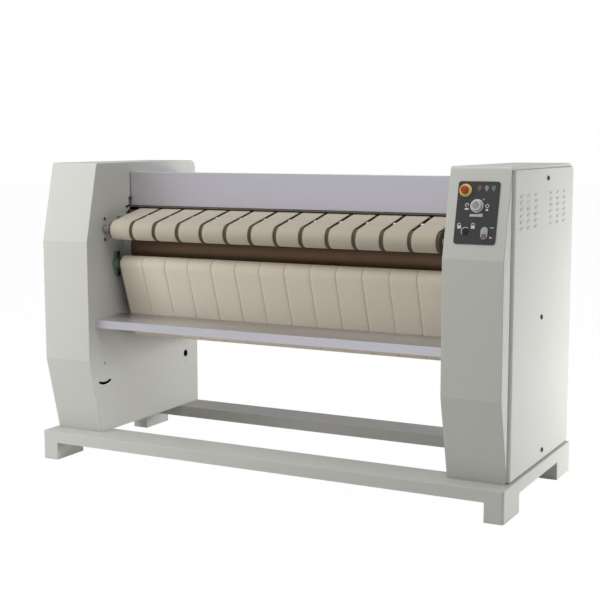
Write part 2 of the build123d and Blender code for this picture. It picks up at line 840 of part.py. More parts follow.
def shelf():
    """Folded tray: front lip with a hem, slightly rising top, short rear lip."""
    half = cabinet_inner - sheet
    x = (-half, half)
    bottom = shelf_front_top - shelf_lip
    back_bottom = shelf_level(shelf_back) - shelf_back_lip
    front_in = shelf_front + sheet
    back_in = shelf_back - sheet
    outer = [
        (shelf_front, bottom),
        (shelf_front, shelf_front_top),
        (shelf_back, shelf_level(shelf_back)),
        (shelf_back, back_bottom),
        (back_in, back_bottom),
        (shelf_front + shelf_hem, bottom),
    ]
    inner = [
        (front_in, bottom + sheet),
        (front_in, shelf_level(front_in) - sheet),
        (back_in, shelf_level(back_in) - sheet),
        (back_in, bottom - overshoot),
        (shelf_front + shelf_hem, bottom - overshoot),
        (shelf_front + shelf_hem, bottom + sheet),
    ]
    return prism(outline(outer, [(1, edge_round / 2)]), x) - prism(outline(inner), x)


def shelf_bracket():
    """Plate on the wall beside the shelf, with a ledge under the shelf's top."""
    plate = outline([
        (shelf_bracket_front, shelf_bracket_bottom),
        (shelf_bracket_front, shelf_front_top + sheet),
        (shelf_bracket_back, shelf_level(shelf_bracket_back)),
        (shelf_bracket_back, shelf_bracket_bottom),
    ])
    start = shelf_front + 2 * sheet
    top = -sheet
    bottom = -sheet - shelf_ledge_thickness
    ledge = outline([
        (start, shelf_level(start) + top),
        (shelf_bracket_back, shelf_level(shelf_bracket_back) + top),
        (shelf_bracket_back, shelf_level(shelf_bracket_back) + bottom),
        (start, shelf_level(start) + bottom),
    ])
    wall_x = cabinet_inner - sheet
    return prism(plate, (wall_x, cabinet_inner)) + prism(ledge, (wall_x - shelf_ledge, wall_x))


def receiving_shelf():
    export("receiving_shelf", shelf())
    bracket = shelf_bracket()
    export("shelf_brackets", bracket, mirrored(bracket))


# ---- heated cylinder ----
def cylinder_flange(reach):
    """End disc inside the cylinder with its hollow journal, on the right side."""
    disc_x = (cylinder_half - flange_inset, cylinder_half - flange_inset + flange_thickness)
    disc = rod(disc_x, cylinder_place, cylinder_radius - cylinder_wall - running_gap)
    journal = rod((disc_x[0], reach), cylinder_place, journal_radius)
    return disc + journal - rod(beyond((disc_x[0], reach)), cylinder_place, journal_bore)


def cylinder_bolt_places():
    y, z = cylinder_place
    offset_by = cylinder_bolt_offset
    return [(y + dy * offset_by, z + dz * offset_by) for dy in (-1, 1) for dz in (-1, 1)]


def cylinder_bearing():
    """Square flanged housing on the wall, inside the cabinet."""
    y, z = cylinder_place
    half = cylinder_housing / 2
    x = (wall_outer, wall_outer + cylinder_housing_thickness)
    housing = block(x, (y - half, y + half), (z - half, z + half))
    housing = fillet(housing.edges().filter_by(Axis.X), corner_round)
    boss_x = (wall_outer, wall_outer + cylinder_boss_reach)
    housing += rod(boss_x, cylinder_place, cylinder_boss_radius)
    through = beyond(boss_x)
    housing -= rod(through, cylinder_place, journal_radius + running_gap)
    for place in cylinder_bolt_places():
        housing -= rod(through, place, bolt_hole_radius)
    return housing


def element_places():
    y, z = cylinder_place
    turns = [2 * pi * i / element_count for i in range(element_count)]
    return [(y + element_circle * cos(turn), z + element_circle * sin(turn)) for turn in turns]


def element_carrier():
    """Tube through both journals, with spiders that hold the heating elements."""
    x = (-journal_reach_left - carrier_overhang, journal_reach_right + carrier_overhang)
    carrier = rod(x, cylinder_place, carrier_radius)
    for middle in spider_places:
        spider_x = (middle - spider_thickness / 2, middle + spider_thickness / 2)
        carrier += rod(spider_x, cylinder_place, spider_radius)
    past = beyond(x)
    carrier -= rod(past, cylinder_place, carrier_radius - carrier_wall)
    return carrier - [rod(past, place, element_radius + running_gap) for place in element_places()]


def carrier_bracket(reach):
    """Plate that clamps the carrier's end, on two standoffs from the wall."""
    x = (reach + carrier_overhang / 3, reach + carrier_overhang / 3 + bracket_thickness)
    half = bracket_half_height
    plate = block(x, (-bracket_width / 2, bracket_width / 2), (-half, half))
    plate = fillet(plate.edges().filter_by(Axis.X), corner_round)
    plate -= rod(beyond(x), (0, 0), carrier_radius + running_gap)
    for side in (-1, 1):
        plate += rod((wall_outer, x[0]), (0, side * standoff_offset), standoff_radius)
    return Pos(0, *cylinder_place) * Rot(-bracket_tilt, 0, 0) * plate


def heated_cylinder():
    place = cylinder_place
    x = (-cylinder_half, cylinder_half)
    export("heated_cylinder", tube(x, place, cylinder_radius, cylinder_radius - cylinder_wall))
    left_flange = mirrored(cylinder_flange(journal_reach_left))
    export("cylinder_end_flanges", left_flange, cylinder_flange(journal_reach_right))
    bearing = cylinder_bearing()
    export("cylinder_bearings", bearing, mirrored(bearing))
    ring_x = (cylinder_half + end_ring_gap, cabinet_inner)
    ring = tube(ring_x, place, end_ring_radius, end_ring_radius - end_ring_wall)
    export("cylinder_end_rings", ring, mirrored(ring))
    rods = [rod((-element_half, element_half), at, element_radius) for at in element_places()]
    export("heating_elements", *rods)
    export("element_carrier", element_carrier())
    left_bracket = mirrored(carrier_bracket(journal_reach_left))
    export("carrier_brackets", left_bracket, carrier_bracket(journal_reach_right))


# ---- rollers and their bearings ----
def roller(place, radius, left_reach, right_reach):
    """Hollow roller with a journal at each end and a small bore right through."""
    body = rod((-roller_half, roller_half), place, radius)
    body = fillet(body.edges().filter_by(GeomType.CIRCLE), edge_round / 2)
    body += rod((-left_reach, right_reach), place, roller_journal_radius)
    cavity = (-roller_half + roller_end, roller_half - roller_end)
    body -= rod(cavity, place, radius - roller_wall)
    return body - rod(beyond((-left_reach, right_reach)), place, roller_vent_radius)


def flange_bearing(place, face_x, side):
    """Two-bolt bearing on the wall: side is +1 inside the cabinet and -1 between the walls."""
    dy, dz = bearing_turn(place)
    y, z = place
    hull = loop_face([
        (y - dy, z - dz, bearing_ear_radius),
        (y, z, bearing_hub_radius),
        (y + dy, z + dz, bearing_ear_radius),
        (y, z, bearing_hub_radius),
    ])

    def along(reach):
        return tuple(sorted((face_x, face_x + side * reach)))

    bearing = prism(hull, along(bearing_plate))
    bearing += rod(along(bearing_boss_reach), place, bearing_boss_radius)
    bearing += rod(along(bearing_reach), place, bearing_ring_radius)
    past = (face_x - 2 * bearing_reach, face_x + 2 * bearing_reach)
    bearing -= rod(past, place, roller_journal_radius + running_gap)
    for turn in (-1, 1):
        bearing -= rod(past, (y + turn * dy, z + turn * dz), bolt_hole_radius)
    return bearing


def hexagon(x, place):
    """Nut or bolt head along X."""
    face = Pos(*place) * RegularPolygon(bolt_head_radius, 6)
    return prism(face, x)


def bearing_bolt(place, head_x, nut_x, head=None):
    """Bolt through the wall: head, if it has one, between the walls and nut inside the cabinet."""
    bolt = rod((head_x, nut_x + bolt_tail + sheet), place, bolt_radius)
    bolt += hexagon((nut_x, nut_x + bolt_tail), place)
    if head == "hexagon":
        bolt += hexagon((head_x - bolt_head_height, head_x), place)
    if head == "flat":
        bolt += rod((head_x - flat_head_height, head_x), place, flat_head_radius)
    return bolt


def bearing_bolts():
    bolts = []
    for place in rollers_in_cabinet + [delivery, lower]:
        dy, dz = bearing_turn(place)
        outside = place in (delivery, lower)
        head_x = cabinet_inner - bearing_plate if outside else cabinet_inner
        nut_x = wall_outer if outside else wall_outer + bearing_plate
        head = "hexagon" if outside else "flat" if place == feed_front else None
        for turn in (-1, 1):
            bolt = (place[0] + turn * dy, place[1] + turn * dz)
            bolts.append(bearing_bolt(bolt, head_x, nut_x, head))
    nut_x = wall_outer + cylinder_housing_thickness
    bolts += [bearing_bolt(place, cabinet_inner, nut_x) for place in cylinder_bolt_places()]
    return bolts


def rollers():
    reach = wall_outer + bearing_reach
    inside_reach = cabinet_inner + sheet
    export("feed_front_roller", roller(feed_front, feed_front_radius, feed_journal_reach, reach))
    export("feed_rear_roller", roller(feed_rear, feed_rear_radius, reach, reach))
    export("nose_roller", roller(nose, nose_radius, reach, reach))
    export("delivery_roller", roller(delivery, delivery_radius, inside_reach, inside_reach))
    export("lower_roller", roller(lower, lower_radius, inside_reach, inside_reach))
    export("tension_roller", roller(tension, tension_radius, reach, reach))
    export("return_roller", roller(back_return, back_return_radius, reach, reach))
    for node, place in (("delivery_bearings", delivery), ("lower_bearings", lower)):
        bearing = flange_bearing(place, cabinet_inner, -1)
        export(node, bearing, mirrored(bearing))
    inside = [flange_bearing(place, wall_outer, 1) for place in rollers_in_cabinet]
    export("cabinet_bearings", *inside, *[mirrored(bearing) for bearing in inside])
    bolts = bearing_bolts()
    export("bearing_bolts", *bolts, *[mirrored(bolt) for bolt in bolts])


# ---- belts ----
def feed_circles(thickness):
    return [
        (*feed_front, feed_belt_inner[0] + thickness),
        (*feed_rear, feed_belt_inner[1] + thickness),
    ]


def ironing_circles(thickness):
    """The belt runs round its rollers, and round the back of the cylinder on its outer face."""
    circles = [
        (*place, radius + seat_gap + thickness)
        for place, radius in zip(ironing_places, ironing_radii)
    ]
    wrap = cylinder_radius + seat_gap + belt_thickness - thickness
    circles.insert(1, (*cylinder_place, -wrap))
    return circles


def belts():
    for node, circles, width in (
        ("feed_belts", feed_circles, belt_pitch - feed_belt_gap),
        ("ironing_belts", ironing_circles, belt_pitch - ironing_belt_gap),
    ):
        belt = band(circles(0), circles(belt_thickness), (-width / 2, width / 2))
        export(node, *[Pos(x, 0, 0) * belt for x in belt_centres()])


def support_bar():
    """Bright tube that carries the feed belts' top run."""
    front, rear = feed_circles(0)
    normal = leg_normal(rear, front)
    inset = rear[2] - support_bar_radius - seat_gap
    y = rear[0] + inset * normal[0] - support_bar_from_rear * normal[1]
    z = rear[1] + inset * normal[1] + support_bar_from_rear * normal[0]
    x = (-cabinet_inner, cabinet_inner)
    export("feed_support_bar", tube(x, (y, z), support_bar_radius, support_bar_radius - sheet))


# ---- drive ----
def pitch_radius(teeth):
    return chain_pitch / (2 * sin(pi / teeth))


def sprocket_disc(place, x_middle, teeth):
    """Toothed disc: a round seat for each chain roller in its rim."""
    radius = pitch_radius(teeth)
    face = Circle(radius + roller_chain_radius * 0.8)
    seats = [
        Pos(radius * cos(2 * pi * i / teeth), radius * sin(2 * pi * i / teeth))
        * Circle(roller_chain_radius + running_gap)
        for i in range(teeth)
    ]
    half = sprocket_thickness / 2
    return prism(Pos(*place) * (face - seats), (x_middle - half, x_middle + half))


def cylinder_sprocket():
    """Two toothed rims on one hub: one driven by the motor, one driving the feed."""
    discs = sprocket_disc(cylinder_place, drive_chain_x, cylinder_drive_teeth)
    discs += sprocket_disc(cylinder_place, feed_chain_x, feed_drive_teeth)
    margin = sprocket_thickness
    hub_x = (feed_chain_x - margin, drive_chain_x + margin)
    hub = discs + rod(hub_x, cylinder_place, journal_radius + sprocket_hub_wall)
    return hub - rod(beyond(hub_x), cylinder_place, journal_radius + running_gap)


def feed_sprocket():
    disc = sprocket_disc(feed_front, feed_chain_x, feed_sprocket_teeth)
    hub_x = (feed_chain_x - small_hub_half, feed_chain_x + small_hub_half)
    hub = disc + rod(hub_x, feed_front, small_hub_radius)
    return hub - rod(beyond(hub_x), feed_front, roller_journal_radius + running_gap)


def motor_sprocket():
    """Sprocket on the gearmotor's output shaft."""
    disc = sprocket_disc(motor_place, drive_chain_x, motor_sprocket_teeth)
    hub_x = (drive_chain_x - small_hub_half, drive_chain_x + small_hub_half)
    hub = rod(hub_x, motor_place, small_hub_radius)
    shaft_x = (drive_chain_x, -wall_outer - gearbox_depth + motor_shaft_depth)
    return disc + hub + rod(shaft_x, motor_place, motor_shaft_radius)


def pins_clear(radius):
    """How many pitches from a sprocket the first pin stands, to miss its teeth."""
    reach = radius + 2 * roller_chain_radius
    return ceil(sqrt(reach**2 - radius**2) / chain_pitch)


def chain(x_middle, first, second):
    """Link plates either side of the teeth, and pins across the two free runs."""
    inner = [(*place, radius - chain_plate_half) for place, radius in (first, second)]
    outer = [(*place, radius + chain_plate_half) for place, radius in (first, second)]
    pitch_line = [(*place, radius) for place, radius in (first, second)]
    start = sprocket_thickness / 2 + seat_gap
    end = start + chain_plate_thickness
    links = band(inner, outer, (x_middle + start, x_middle + end))
    links += band(inner, outer, (x_middle - end, x_middle - start))
    for near, far in (pitch_line, pitch_line[::-1]):
        normal = leg_normal(near, far)
        y0, z0 = on_circle(near, normal)
        y1, z1 = on_circle(far, normal)
        steps = int(hypot(y1 - y0, z1 - z0) / chain_pitch)
        for i in range(pins_clear(near[2]), steps - pins_clear(far[2]) + 1):
            share = i / steps
            place = (y0 + (y1 - y0) * share, z0 + (z1 - z0) * share)
            links += rod((x_middle - end, x_middle + end), place, roller_chain_radius)
    return links


def gearmotor():
    """Gearbox on the wall, with the motor lying in front of it, below the output shaft."""
    y, z = motor_place
    face = -wall_outer
    box_x = (face - gearbox_depth, face)
    half = gearbox_half
    axis = (face - motor_offset, z - motor_drop)  # in X and Z
    box = block(box_x, (y - half, y + half), (axis[1] - half, z + half))
    box = fillet(box.edges().filter_by(Axis.X), corner_round)
    flange_y = (y - half - gearbox_floor, y - half)
    flange = block((axis[0] - motor_radius, face), flange_y, (axis[1] - half, axis[1] + half))
    flange = fillet(flange.edges().filter_by(Axis.Y), corner_round)
    back = flange_y[0]

    def barrel_along_y(start, end, radius):
        place = Pos(axis[0], (start + end) / 2, axis[1])
        return place * Rot(90, 0, 0) * Cylinder(radius, end - start)

    motor = barrel_along_y(back - motor_length, back, motor_radius)
    for i in range(motor_fins):
        level = back - motor_length * (i + 1) / (motor_fins + 1)
        motor += barrel_along_y(level - sheet / 2, level + sheet / 2, motor_radius + motor_fin_height)
    body = box + flange + motor
    bore_x = (box_x[0] - overshoot, box_x[0] + motor_shaft_depth + seat_gap)
    return body - rod(bore_x, motor_place, motor_shaft_radius + running_gap)


def drive():
    export("gearmotor", gearmotor())
    export("motor_sprocket", motor_sprocket())
    export("cylinder_sprocket", cylinder_sprocket())
    export("feed_sprocket", feed_sprocket())
    drive_chain = chain(
        drive_chain_x,
        (cylinder_place, pitch_radius(cylinder_drive_teeth)),
        (motor_place, pitch_radius(motor_sprocket_teeth)),
    )
    feed_chain = chain(
        feed_chain_x,
        (cylinder_place, pitch_radius(feed_drive_teeth)),
        (feed_front, pitch_radius(feed_sprocket_teeth)),
    )
    export("drive_chains", drive_chain, feed_chain)


# ---- controls ----
def control_plate():
    centre = (plate_left + plate_width / 2, plate_start + plate_height / 2)
    face = RectangleRounded(plate_width, plate_height, plate_round)
    plate = extrude(face, plate_thickness)
    plate = chamfer(plate.faces().sort_by(Axis.Z)[-1].edges(), running_gap * 10)
    return on_slope(*centre) * plate - control_holes()


def disc(radius, low, high):
    return Pos(0, 0, (low + high) / 2) * Cylinder(radius, high - low)


def barrel():
    """Threaded barrel of a switch, with its nut behind the sheet."""
    body = disc(barrel_radius - running_gap, -barrel_depth, plate_thickness)
    body += disc(nut_radius, -sheet - nut_height, -sheet)
    return body


def stop_ring():
    top = plate_thickness + stop_ring_height
    ring = disc(stop_ring_radius, plate_thickness, top)
    ring = fillet(ring.faces().sort_by(Axis.Z)[-1].edges(), edge_round / 2)
    return ring + barrel() - disc(barrel_bore + running_gap, *beyond((-barrel_depth, top)))


def stop_button():
    low = plate_thickness + stop_head_lift
    head = disc(stop_head_radius, low, low + stop_head_height)
    head = fillet(head.faces().sort_by(Axis.Z)[-1].edges(), stop_head_height / 3)
    return head + disc(barrel_bore, stop_travel - barrel_depth + sheet, low + sheet)


def dial():
    low = plate_thickness + seat_gap
    knob = disc(dial_radius, low, low + dial_height)
    knob = fillet(knob.faces().sort_by(Axis.Z)[-1].edges(), edge_round)
    return knob + disc(dial_stem_radius, -barrel_depth / 2, low + sheet)


def key_ring():
    top = plate_thickness + key_ring_height
    ring = disc(key_ring_radius, plate_thickness, top)
    ring = chamfer(ring.faces().sort_by(Axis.Z)[-1].edges(), running_gap * 10)
    return ring + barrel() - disc(barrel_bore + running_gap, *beyond((-barrel_depth, top)))


def key_core():
    top = plate_thickness + key_core_height
    core = disc(barrel_bore, -barrel_depth + sheet, top)
    core = chamfer(core.faces().sort_by(Axis.Z)[-1].edges(), running_gap * 10)
    return core - Pos(0, 0, top) * Box(key_slot_width, key_slot_length, 2 * key_slot_depth)


def pair_button(rise):
    """One button of the double push button."""
    face = RectangleRounded(button_width, button_height, button_round)
    low = plate_thickness - bezel_depth + button_travel + sheet
    top = plate_thickness + rise
    button = Pos(0, 0, low) * extrude(face, top - low)
    return fillet(button.faces().sort_by(Axis.Z)[-1].edges(), button_round / 3)


def button_bezel():
    """White oval bezel, with a pocket for each button."""
    outer = SlotOverall(bezel_height, bezel_width, rotation=90)
    top = plate_thickness + bezel_rise
    bezel = Pos(0, 0, plate_thickness) * extrude(outer, bezel_rise)
    bezel = fillet(bezel.faces().sort_by(Axis.Z)[-1].edges(), edge_round / 2)
    inner_width = bezel_width - 2 * sheet - 2 * seat_gap
    inner_height = bezel_height - 2 * sheet - 2 * seat_gap
    neck = RectangleRounded(inner_width, inner_height, bezel_width / 3)
    bezel += Pos(0, 0, plate_thickness - bezel_depth) * extrude(neck, bezel_depth)
    pocket = RectangleRounded(
        button_width + 2 * seat_gap, button_height + 2 * seat_gap, button_round + seat_gap
    )
    for side in (-1, 1):
        floor = plate_thickness - bezel_depth + sheet
        bezel -= Pos(0, side * button_offset, floor) * extrude(pocket, top + overshoot - floor)
    return bezel


def switch_bodies():
    """Contact blocks behind the stop, key and double push button, and the dial's body."""
    width, height, depth = contact_block
    bodies = [
        on_slope(*place) * Pos(0, 0, -barrel_depth - depth / 2) * Box(width, height, depth)
        for place in (stop_place, key_place)
    ]
    pair_level = plate_thickness - bezel_depth - depth / 2
    bodies.append(on_slope(*pair_place) * Pos(0, 0, pair_level) * Box(width, height, depth))
    pot = disc(barrel_radius * 1.2, -depth, -sheet) + disc(barrel_radius / 2 - seat_gap, -sheet, 0)
    pot -= disc(dial_stem_radius + running_gap, -depth + sheet, sheet)
    bodies.append(on_slope(*dial_place) * pot)
    return bodies


def controls():
    export("control_plate", control_plate())
    export("stop_ring", on_slope(*stop_place) * stop_ring())
    export("stop_button", on_slope(*stop_place) * stop_button())
    export("temperature_dial", on_slope(*dial_place) * dial())
    export("key_ring", on_slope(*key_place) * key_ring())
    export("key_core", on_slope(*key_place) * key_core())
    export("button_bezel", on_slope(*pair_place) * button_bezel())
    pair = on_slope(*pair_place)
    export("start_button", pair * Pos(0, button_offset, 0) * pair_button(start_rise))
    export("halt_button", pair * Pos(0, -button_offset, 0) * pair_button(halt_rise))
    export("switch_bodies", *switch_bodies())


# ---- electrics ----
def electrical_panel():
    """Mounting plate on four posts, with contactors, an inverter and terminals."""
    face = wall_outer + panel_plate_gap
    x = (face, face + panel_plate_thickness)
    y = (panel_plate_front, panel_plate_front + panel_plate_depth)
    z = (base_top + panel_plate_lift, base_top + panel_plate_lift + panel_plate_height)
    plate = block(x, y, z)
    for y_post in (y[0] + panel_post_inset, y[1] - panel_post_inset):
        for z_post in (z[0] + panel_post_inset, z[1] - panel_post_inset):
            plate += rod((wall_outer, x[0]), (y_post, z_post), panel_post_radius)

    def device(size, corner, along=0.0):
        near = y[0] + corner[0] + along
        low = z[0] + corner[1]
        return block((x[1], x[1] + size[0]), (near, near + size[1]), (low, low + size[2]))

    inverter = device(inverter_size, inverter_corner)
    devices = [fillet(inverter.edges().filter_by(Axis.Z), edge_round)]
    for i in range(contactor_count):
        devices.append(device(contactor_size, contactor_corner, i * contactor_pitch))
    devices.append(device(terminal_size, terminal_corner))
    return [plate, *devices]


def cable_gland():
    """Gland in the cabinet's floor: lock nut inside, hexagon and dome nut below."""
    inside_top = base_top + sheet + gland_nut_height
    hexagon_low = base_top - gland_hex_height
    dome_low = hexagon_low - gland_dome_height
    hexagonal = RegularPolygon(gland_hex_radius, 6)
    gland = disc(gland_thread_radius, dome_low, inside_top)
    gland += Pos(0, 0, base_top + sheet) * extrude(hexagonal, gland_nut_height)
    gland += Pos(0, 0, hexagon_low) * extrude(hexagonal, gland_hex_height)
    dome = disc(gland_thread_radius + sheet, dome_low, hexagon_low)
    gland += fillet(dome.faces().sort_by(Axis.Z)[0].edges(), edge_round)
    bore = disc(gland_bore_radius, dome_low - overshoot, base_top)
    bore += disc(gland_inner_radius, base_top, inside_top + overshoot)
    return Pos(*gland_place, 0) * (gland - bore)


def electrics():
    export("electrical_panel", *electrical_panel())
    export("cable_gland", cable_gland())


os.makedirs("parts", exist_ok=True)
base()
cabinets()
middle_panels()
receiving_shelf()
heated_cylinder()
rollers()
belts()
support_bar()
drive()
controls()
electrics()
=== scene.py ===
"""Finishes and dresses a flatwork ironer: belts, louvres, controls, welds and every surface."""

import json
import math

import bmesh
import bpy
from bpy.props import FloatProperty, FloatVectorProperty, IntProperty, PointerProperty
from mathutils import Matrix, Vector


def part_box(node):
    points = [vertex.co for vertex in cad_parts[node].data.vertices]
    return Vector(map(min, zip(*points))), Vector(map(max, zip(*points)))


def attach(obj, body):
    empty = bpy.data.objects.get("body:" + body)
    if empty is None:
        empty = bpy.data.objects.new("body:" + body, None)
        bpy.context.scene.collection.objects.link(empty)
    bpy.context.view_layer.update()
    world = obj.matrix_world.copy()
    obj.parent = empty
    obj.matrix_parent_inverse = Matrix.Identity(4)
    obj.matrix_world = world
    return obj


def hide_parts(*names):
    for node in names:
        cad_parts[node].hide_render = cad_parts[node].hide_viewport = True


bl_info = {
    "name": "Flatwork ironer",
    "version": (1, 0, 0),
    "blender": (4, 5, 0),
    "location": "View3D > Sidebar > Ironer",
    "description": "Finishes and dresses a flatwork ironer around its packed model",
    "category": "Object",
}

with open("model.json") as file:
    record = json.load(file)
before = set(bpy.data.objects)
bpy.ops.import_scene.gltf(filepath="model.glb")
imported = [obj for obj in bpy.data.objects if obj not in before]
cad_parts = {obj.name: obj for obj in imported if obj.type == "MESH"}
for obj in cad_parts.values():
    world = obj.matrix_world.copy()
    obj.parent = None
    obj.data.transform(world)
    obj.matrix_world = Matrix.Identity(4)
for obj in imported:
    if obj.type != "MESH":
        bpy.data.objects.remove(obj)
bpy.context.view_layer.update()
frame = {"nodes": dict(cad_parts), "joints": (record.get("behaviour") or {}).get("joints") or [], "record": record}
nodes = frame["nodes"]

MM = 0.001


# ---- places read from the frame ----
def roller_circle(node):
    """Y, Z and radius of a roller, from its box."""
    low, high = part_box(node)
    return ((low[1] + high[1]) / 2, (low[2] + high[2]) / 2, (high[2] - low[2]) / 2)


def joint_named(name):
    return next(joint for joint in frame["joints"] if joint["name"] == name)


SHEET = 2 * MM  # thickness of the cabinets' sheet
WALL_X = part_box("feed_support_bar")[1][0]
COVER_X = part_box("right_side_cover")[1][0]

# The control plate lies on a slope: its X runs across, its Y up the slope and its Z out of it.
SLOPE_OUT = Vector(joint_named("dial_turn")["axis"])
SLOPE_UP = SLOPE_OUT.cross(Vector((1, 0, 0)))
SLOPE = Matrix((Vector((1, 0, 0)), SLOPE_UP, SLOPE_OUT)).transposed().to_4x4()
DIAL_PLACE = Vector(joint_named("dial_turn")["pos_m"])
PLATE_THICKNESS = 3  # millimetres
DIAL_FROM_CORNER = (79, 91)  # millimetres across and down


def on_plate(across, down, turn=0.0, share=1.0):
    """Frame matrix of a place on the control plate, from its top left corner.

    The place, and what is drawn with the matrix, are in millimetres. The drawing is turned by
    degrees, and is larger by share along the plate.
    """
    right, up = across - DIAL_FROM_CORNER[0], DIAL_FROM_CORNER[1] - down
    away = Vector((right, 0, 0)) + SLOPE_UP * up + SLOPE_OUT * PLATE_THICKNESS
    scale = Matrix.Diagonal((share * MM, share * MM, MM, 1))
    turned_slope = SLOPE @ Matrix.Rotation(math.radians(turn), 4, "Z")
    return Matrix.Translation(DIAL_PLACE + away * MM) @ turned_slope @ scale


def facing(place, along, up=(0, 0, 1)):
    """Frame matrix of a place, for drawing in millimetres: Z points along, and Y is near up."""
    z = Vector(along).normalized()
    x = Vector(up).cross(z).normalized()
    turn = Matrix((x, z.cross(x), z)).transposed().to_4x4()
    return Matrix.Translation(place) @ turn @ Matrix.Scale(MM, 4)


# ---- settings ----
class FinishSettings(bpy.types.PropertyGroup):
    """Colours of the finishes, as they are on the object."""

    paint: FloatVectorProperty(
        name="Paint", description="Satin paint on cabinets and base", subtype="COLOR",
        default=(0.66, 0.66, 0.62), min=0, max=1,
    )
    stainless: FloatVectorProperty(
        name="Stainless", description="Brushed front panel and shelf", subtype="COLOR",
        default=(0.69, 0.68, 0.695), min=0, max=1,
    )
    cylinder: FloatVectorProperty(
        name="Cylinder", description="Heated cylinder and rollers", subtype="COLOR",
        default=(0.186, 0.114, 0.061), min=0, max=1,
    )
    feed_belt: FloatVectorProperty(
        name="Feed belt", description="Textile feed belts", subtype="COLOR",
        default=(0.535, 0.478, 0.378), min=0, max=1,
    )
    ironing_belt: FloatVectorProperty(
        name="Ironing belt", description="Textile ironing belts", subtype="COLOR",
        default=(0.83, 0.75, 0.61), min=0, max=1,
    )
    bearing: FloatVectorProperty(
        name="Bearing", description="Painted cast bearings", subtype="COLOR",
        default=(0.176, 0.245, 0.200), min=0, max=1,
    )
    plate: FloatVectorProperty(
        name="Control plate", description="Printed film on the control plate", subtype="COLOR",
        default=(0.042, 0.042, 0.042), min=0, max=1,
    )


class BeltSettings(bpy.types.PropertyGroup):
    """Sizes of the textile belts."""

    count: IntProperty(name="Belts", description="Belts side by side", default=13, min=1)
    thickness: FloatProperty(
        name="Thickness", description="Thickness of a belt", default=3 * MM, unit="LENGTH",
    )
    clearance: FloatProperty(
        name="Clearance", description="From a belt to its rollers", default=0.3 * MM, unit="LENGTH",
    )
    feed_gap: FloatProperty(
        name="Feed gap", description="Between two feed belts", default=15 * MM, unit="LENGTH",
    )
    ironing_gap: FloatProperty(
        name="Ironing gap", description="Between two ironing belts", default=0.8 * MM,
        unit="LENGTH",
    )
    feed_wander: FloatProperty(
        name="Feed wander", description="How far a feed belt strays sideways", default=0.5 * MM,
        unit="LENGTH",
    )
    ironing_wander: FloatProperty(
        name="Ironing wander", description="How far an ironing belt strays sideways",
        default=0.12 * MM, unit="LENGTH",
    )


class LouvreSettings(bpy.types.PropertyGroup):
    """Pressed louvres over the vent slots."""

    rows: IntProperty(name="Rows", description="Louvres in a column", default=6, min=1)
    pitch: FloatProperty(
        name="Pitch", description="From row to row", default=24 * MM, unit="LENGTH",
    )
    length: FloatProperty(
        name="Length", description="Length of a louvre", default=37 * MM, unit="LENGTH",
    )
    rise: FloatProperty(
        name="Rise", description="How far a louvre stands out", default=3.6 * MM, unit="LENGTH",
    )


class ControlSettings(bpy.types.PropertyGroup):
    """Sizes of the controls."""

    flutes: IntProperty(name="Flutes", description="Flutes round the dial", default=32, min=3)
    mark_rise: FloatProperty(
        name="Mark rise", description="Thickness of a printed mark", default=0.12 * MM,
        unit="LENGTH",
    )


class StageSettings(bpy.types.PropertyGroup):
    """Camera, light and floor."""

    camera_place: FloatVectorProperty(
        name="Camera", description="Place of the camera", subtype="TRANSLATION", unit="LENGTH",
        default=(2.4438, -4.6493, 1.39705),
    )
    camera_yaw: FloatProperty(
        name="Yaw", description="Turn of the camera to the left", default=0.484737, unit="ROTATION",
    )
    camera_pitch: FloatProperty(
        name="Pitch", description="Tilt of the camera down", default=0.128693, unit="ROTATION",
    )
    camera_roll: FloatProperty(
        name="Roll", description="Roll of the camera", default=-0.001888, unit="ROTATION",
    )
    camera_lens: FloatProperty(
        name="Lens", description="Focal length for a 36 mm wide sensor", default=74.35,
        unit="CAMERA",
    )
    ambient: FloatProperty(name="Ambient", description="Light from all round", default=0.125)
    reflected: FloatProperty(
        name="Reflected", description="Share of the surroundings' colour in reflections",
        default=0.7, min=0, max=1,
    )
    surroundings: FloatVectorProperty(
        name="Surroundings", description="Colour of the studio seen in reflections",
        subtype="COLOR", default=(0.94, 0.93, 1.0), min=0, max=1,
    )
    left_power: FloatProperty(name="Left", description="Left softbox", default=27, unit="POWER")
    side_power: FloatProperty(name="Side", description="Side softbox", default=41, unit="POWER")
    rear_power: FloatProperty(name="Rear", description="Low rear softbox", default=52, unit="POWER")
    top_power: FloatProperty(name="Top", description="Top softbox", default=28, unit="POWER")
    front_power: FloatProperty(
        name="Front", description="High front softbox", default=21, unit="POWER",
    )
    low_power: FloatProperty(name="Low", description="Low left softbox", default=9, unit="POWER")


# ---- mesh helpers ----
def new_object(name, mesh, body, replaced=()):
    piece = bpy.data.objects.new(name, mesh)
    bpy.context.scene.collection.objects.link(piece)
    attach(piece, body)
    if replaced:
        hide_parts(*replaced)
    return piece


def finished_mesh(name, bm, material, smooth=True):
    """Mesh from a bmesh, with outward faces, a material and smooth faces where they are round."""
    bmesh.ops.recalc_face_normals(bm, faces=bm.faces)
    mesh = bpy.data.meshes.new(name)
    bm.to_mesh(mesh)
    bm.free()
    mesh.materials.append(material)
    for polygon in mesh.polygons:
        polygon.use_smooth = smooth
    return mesh


def sharpen(mesh, angle_degrees):
    """Marks the edges that turn by more than the angle as sharp."""
    bm = bmesh.new()
    bm.from_mesh(mesh)
    limit = math.radians(angle_degrees)
    for edge in bm.edges:
        if len(edge.link_faces) != 2 or edge.calc_face_angle(0) > limit:
            edge.smooth = False
    bm.to_mesh(mesh)
    bm.free()


def add_piece(name, bm, finish, body="root", replaced=(), crease=None):
    """Piece in a finish. It is round but for edges that turn by more than crease, or else flat."""
    mesh = finished_mesh(name, bm, FINISHES[finish], crease is not None)
    if crease is not None:
        sharpen(mesh, crease)
    new_object(name, mesh, body, replaced)


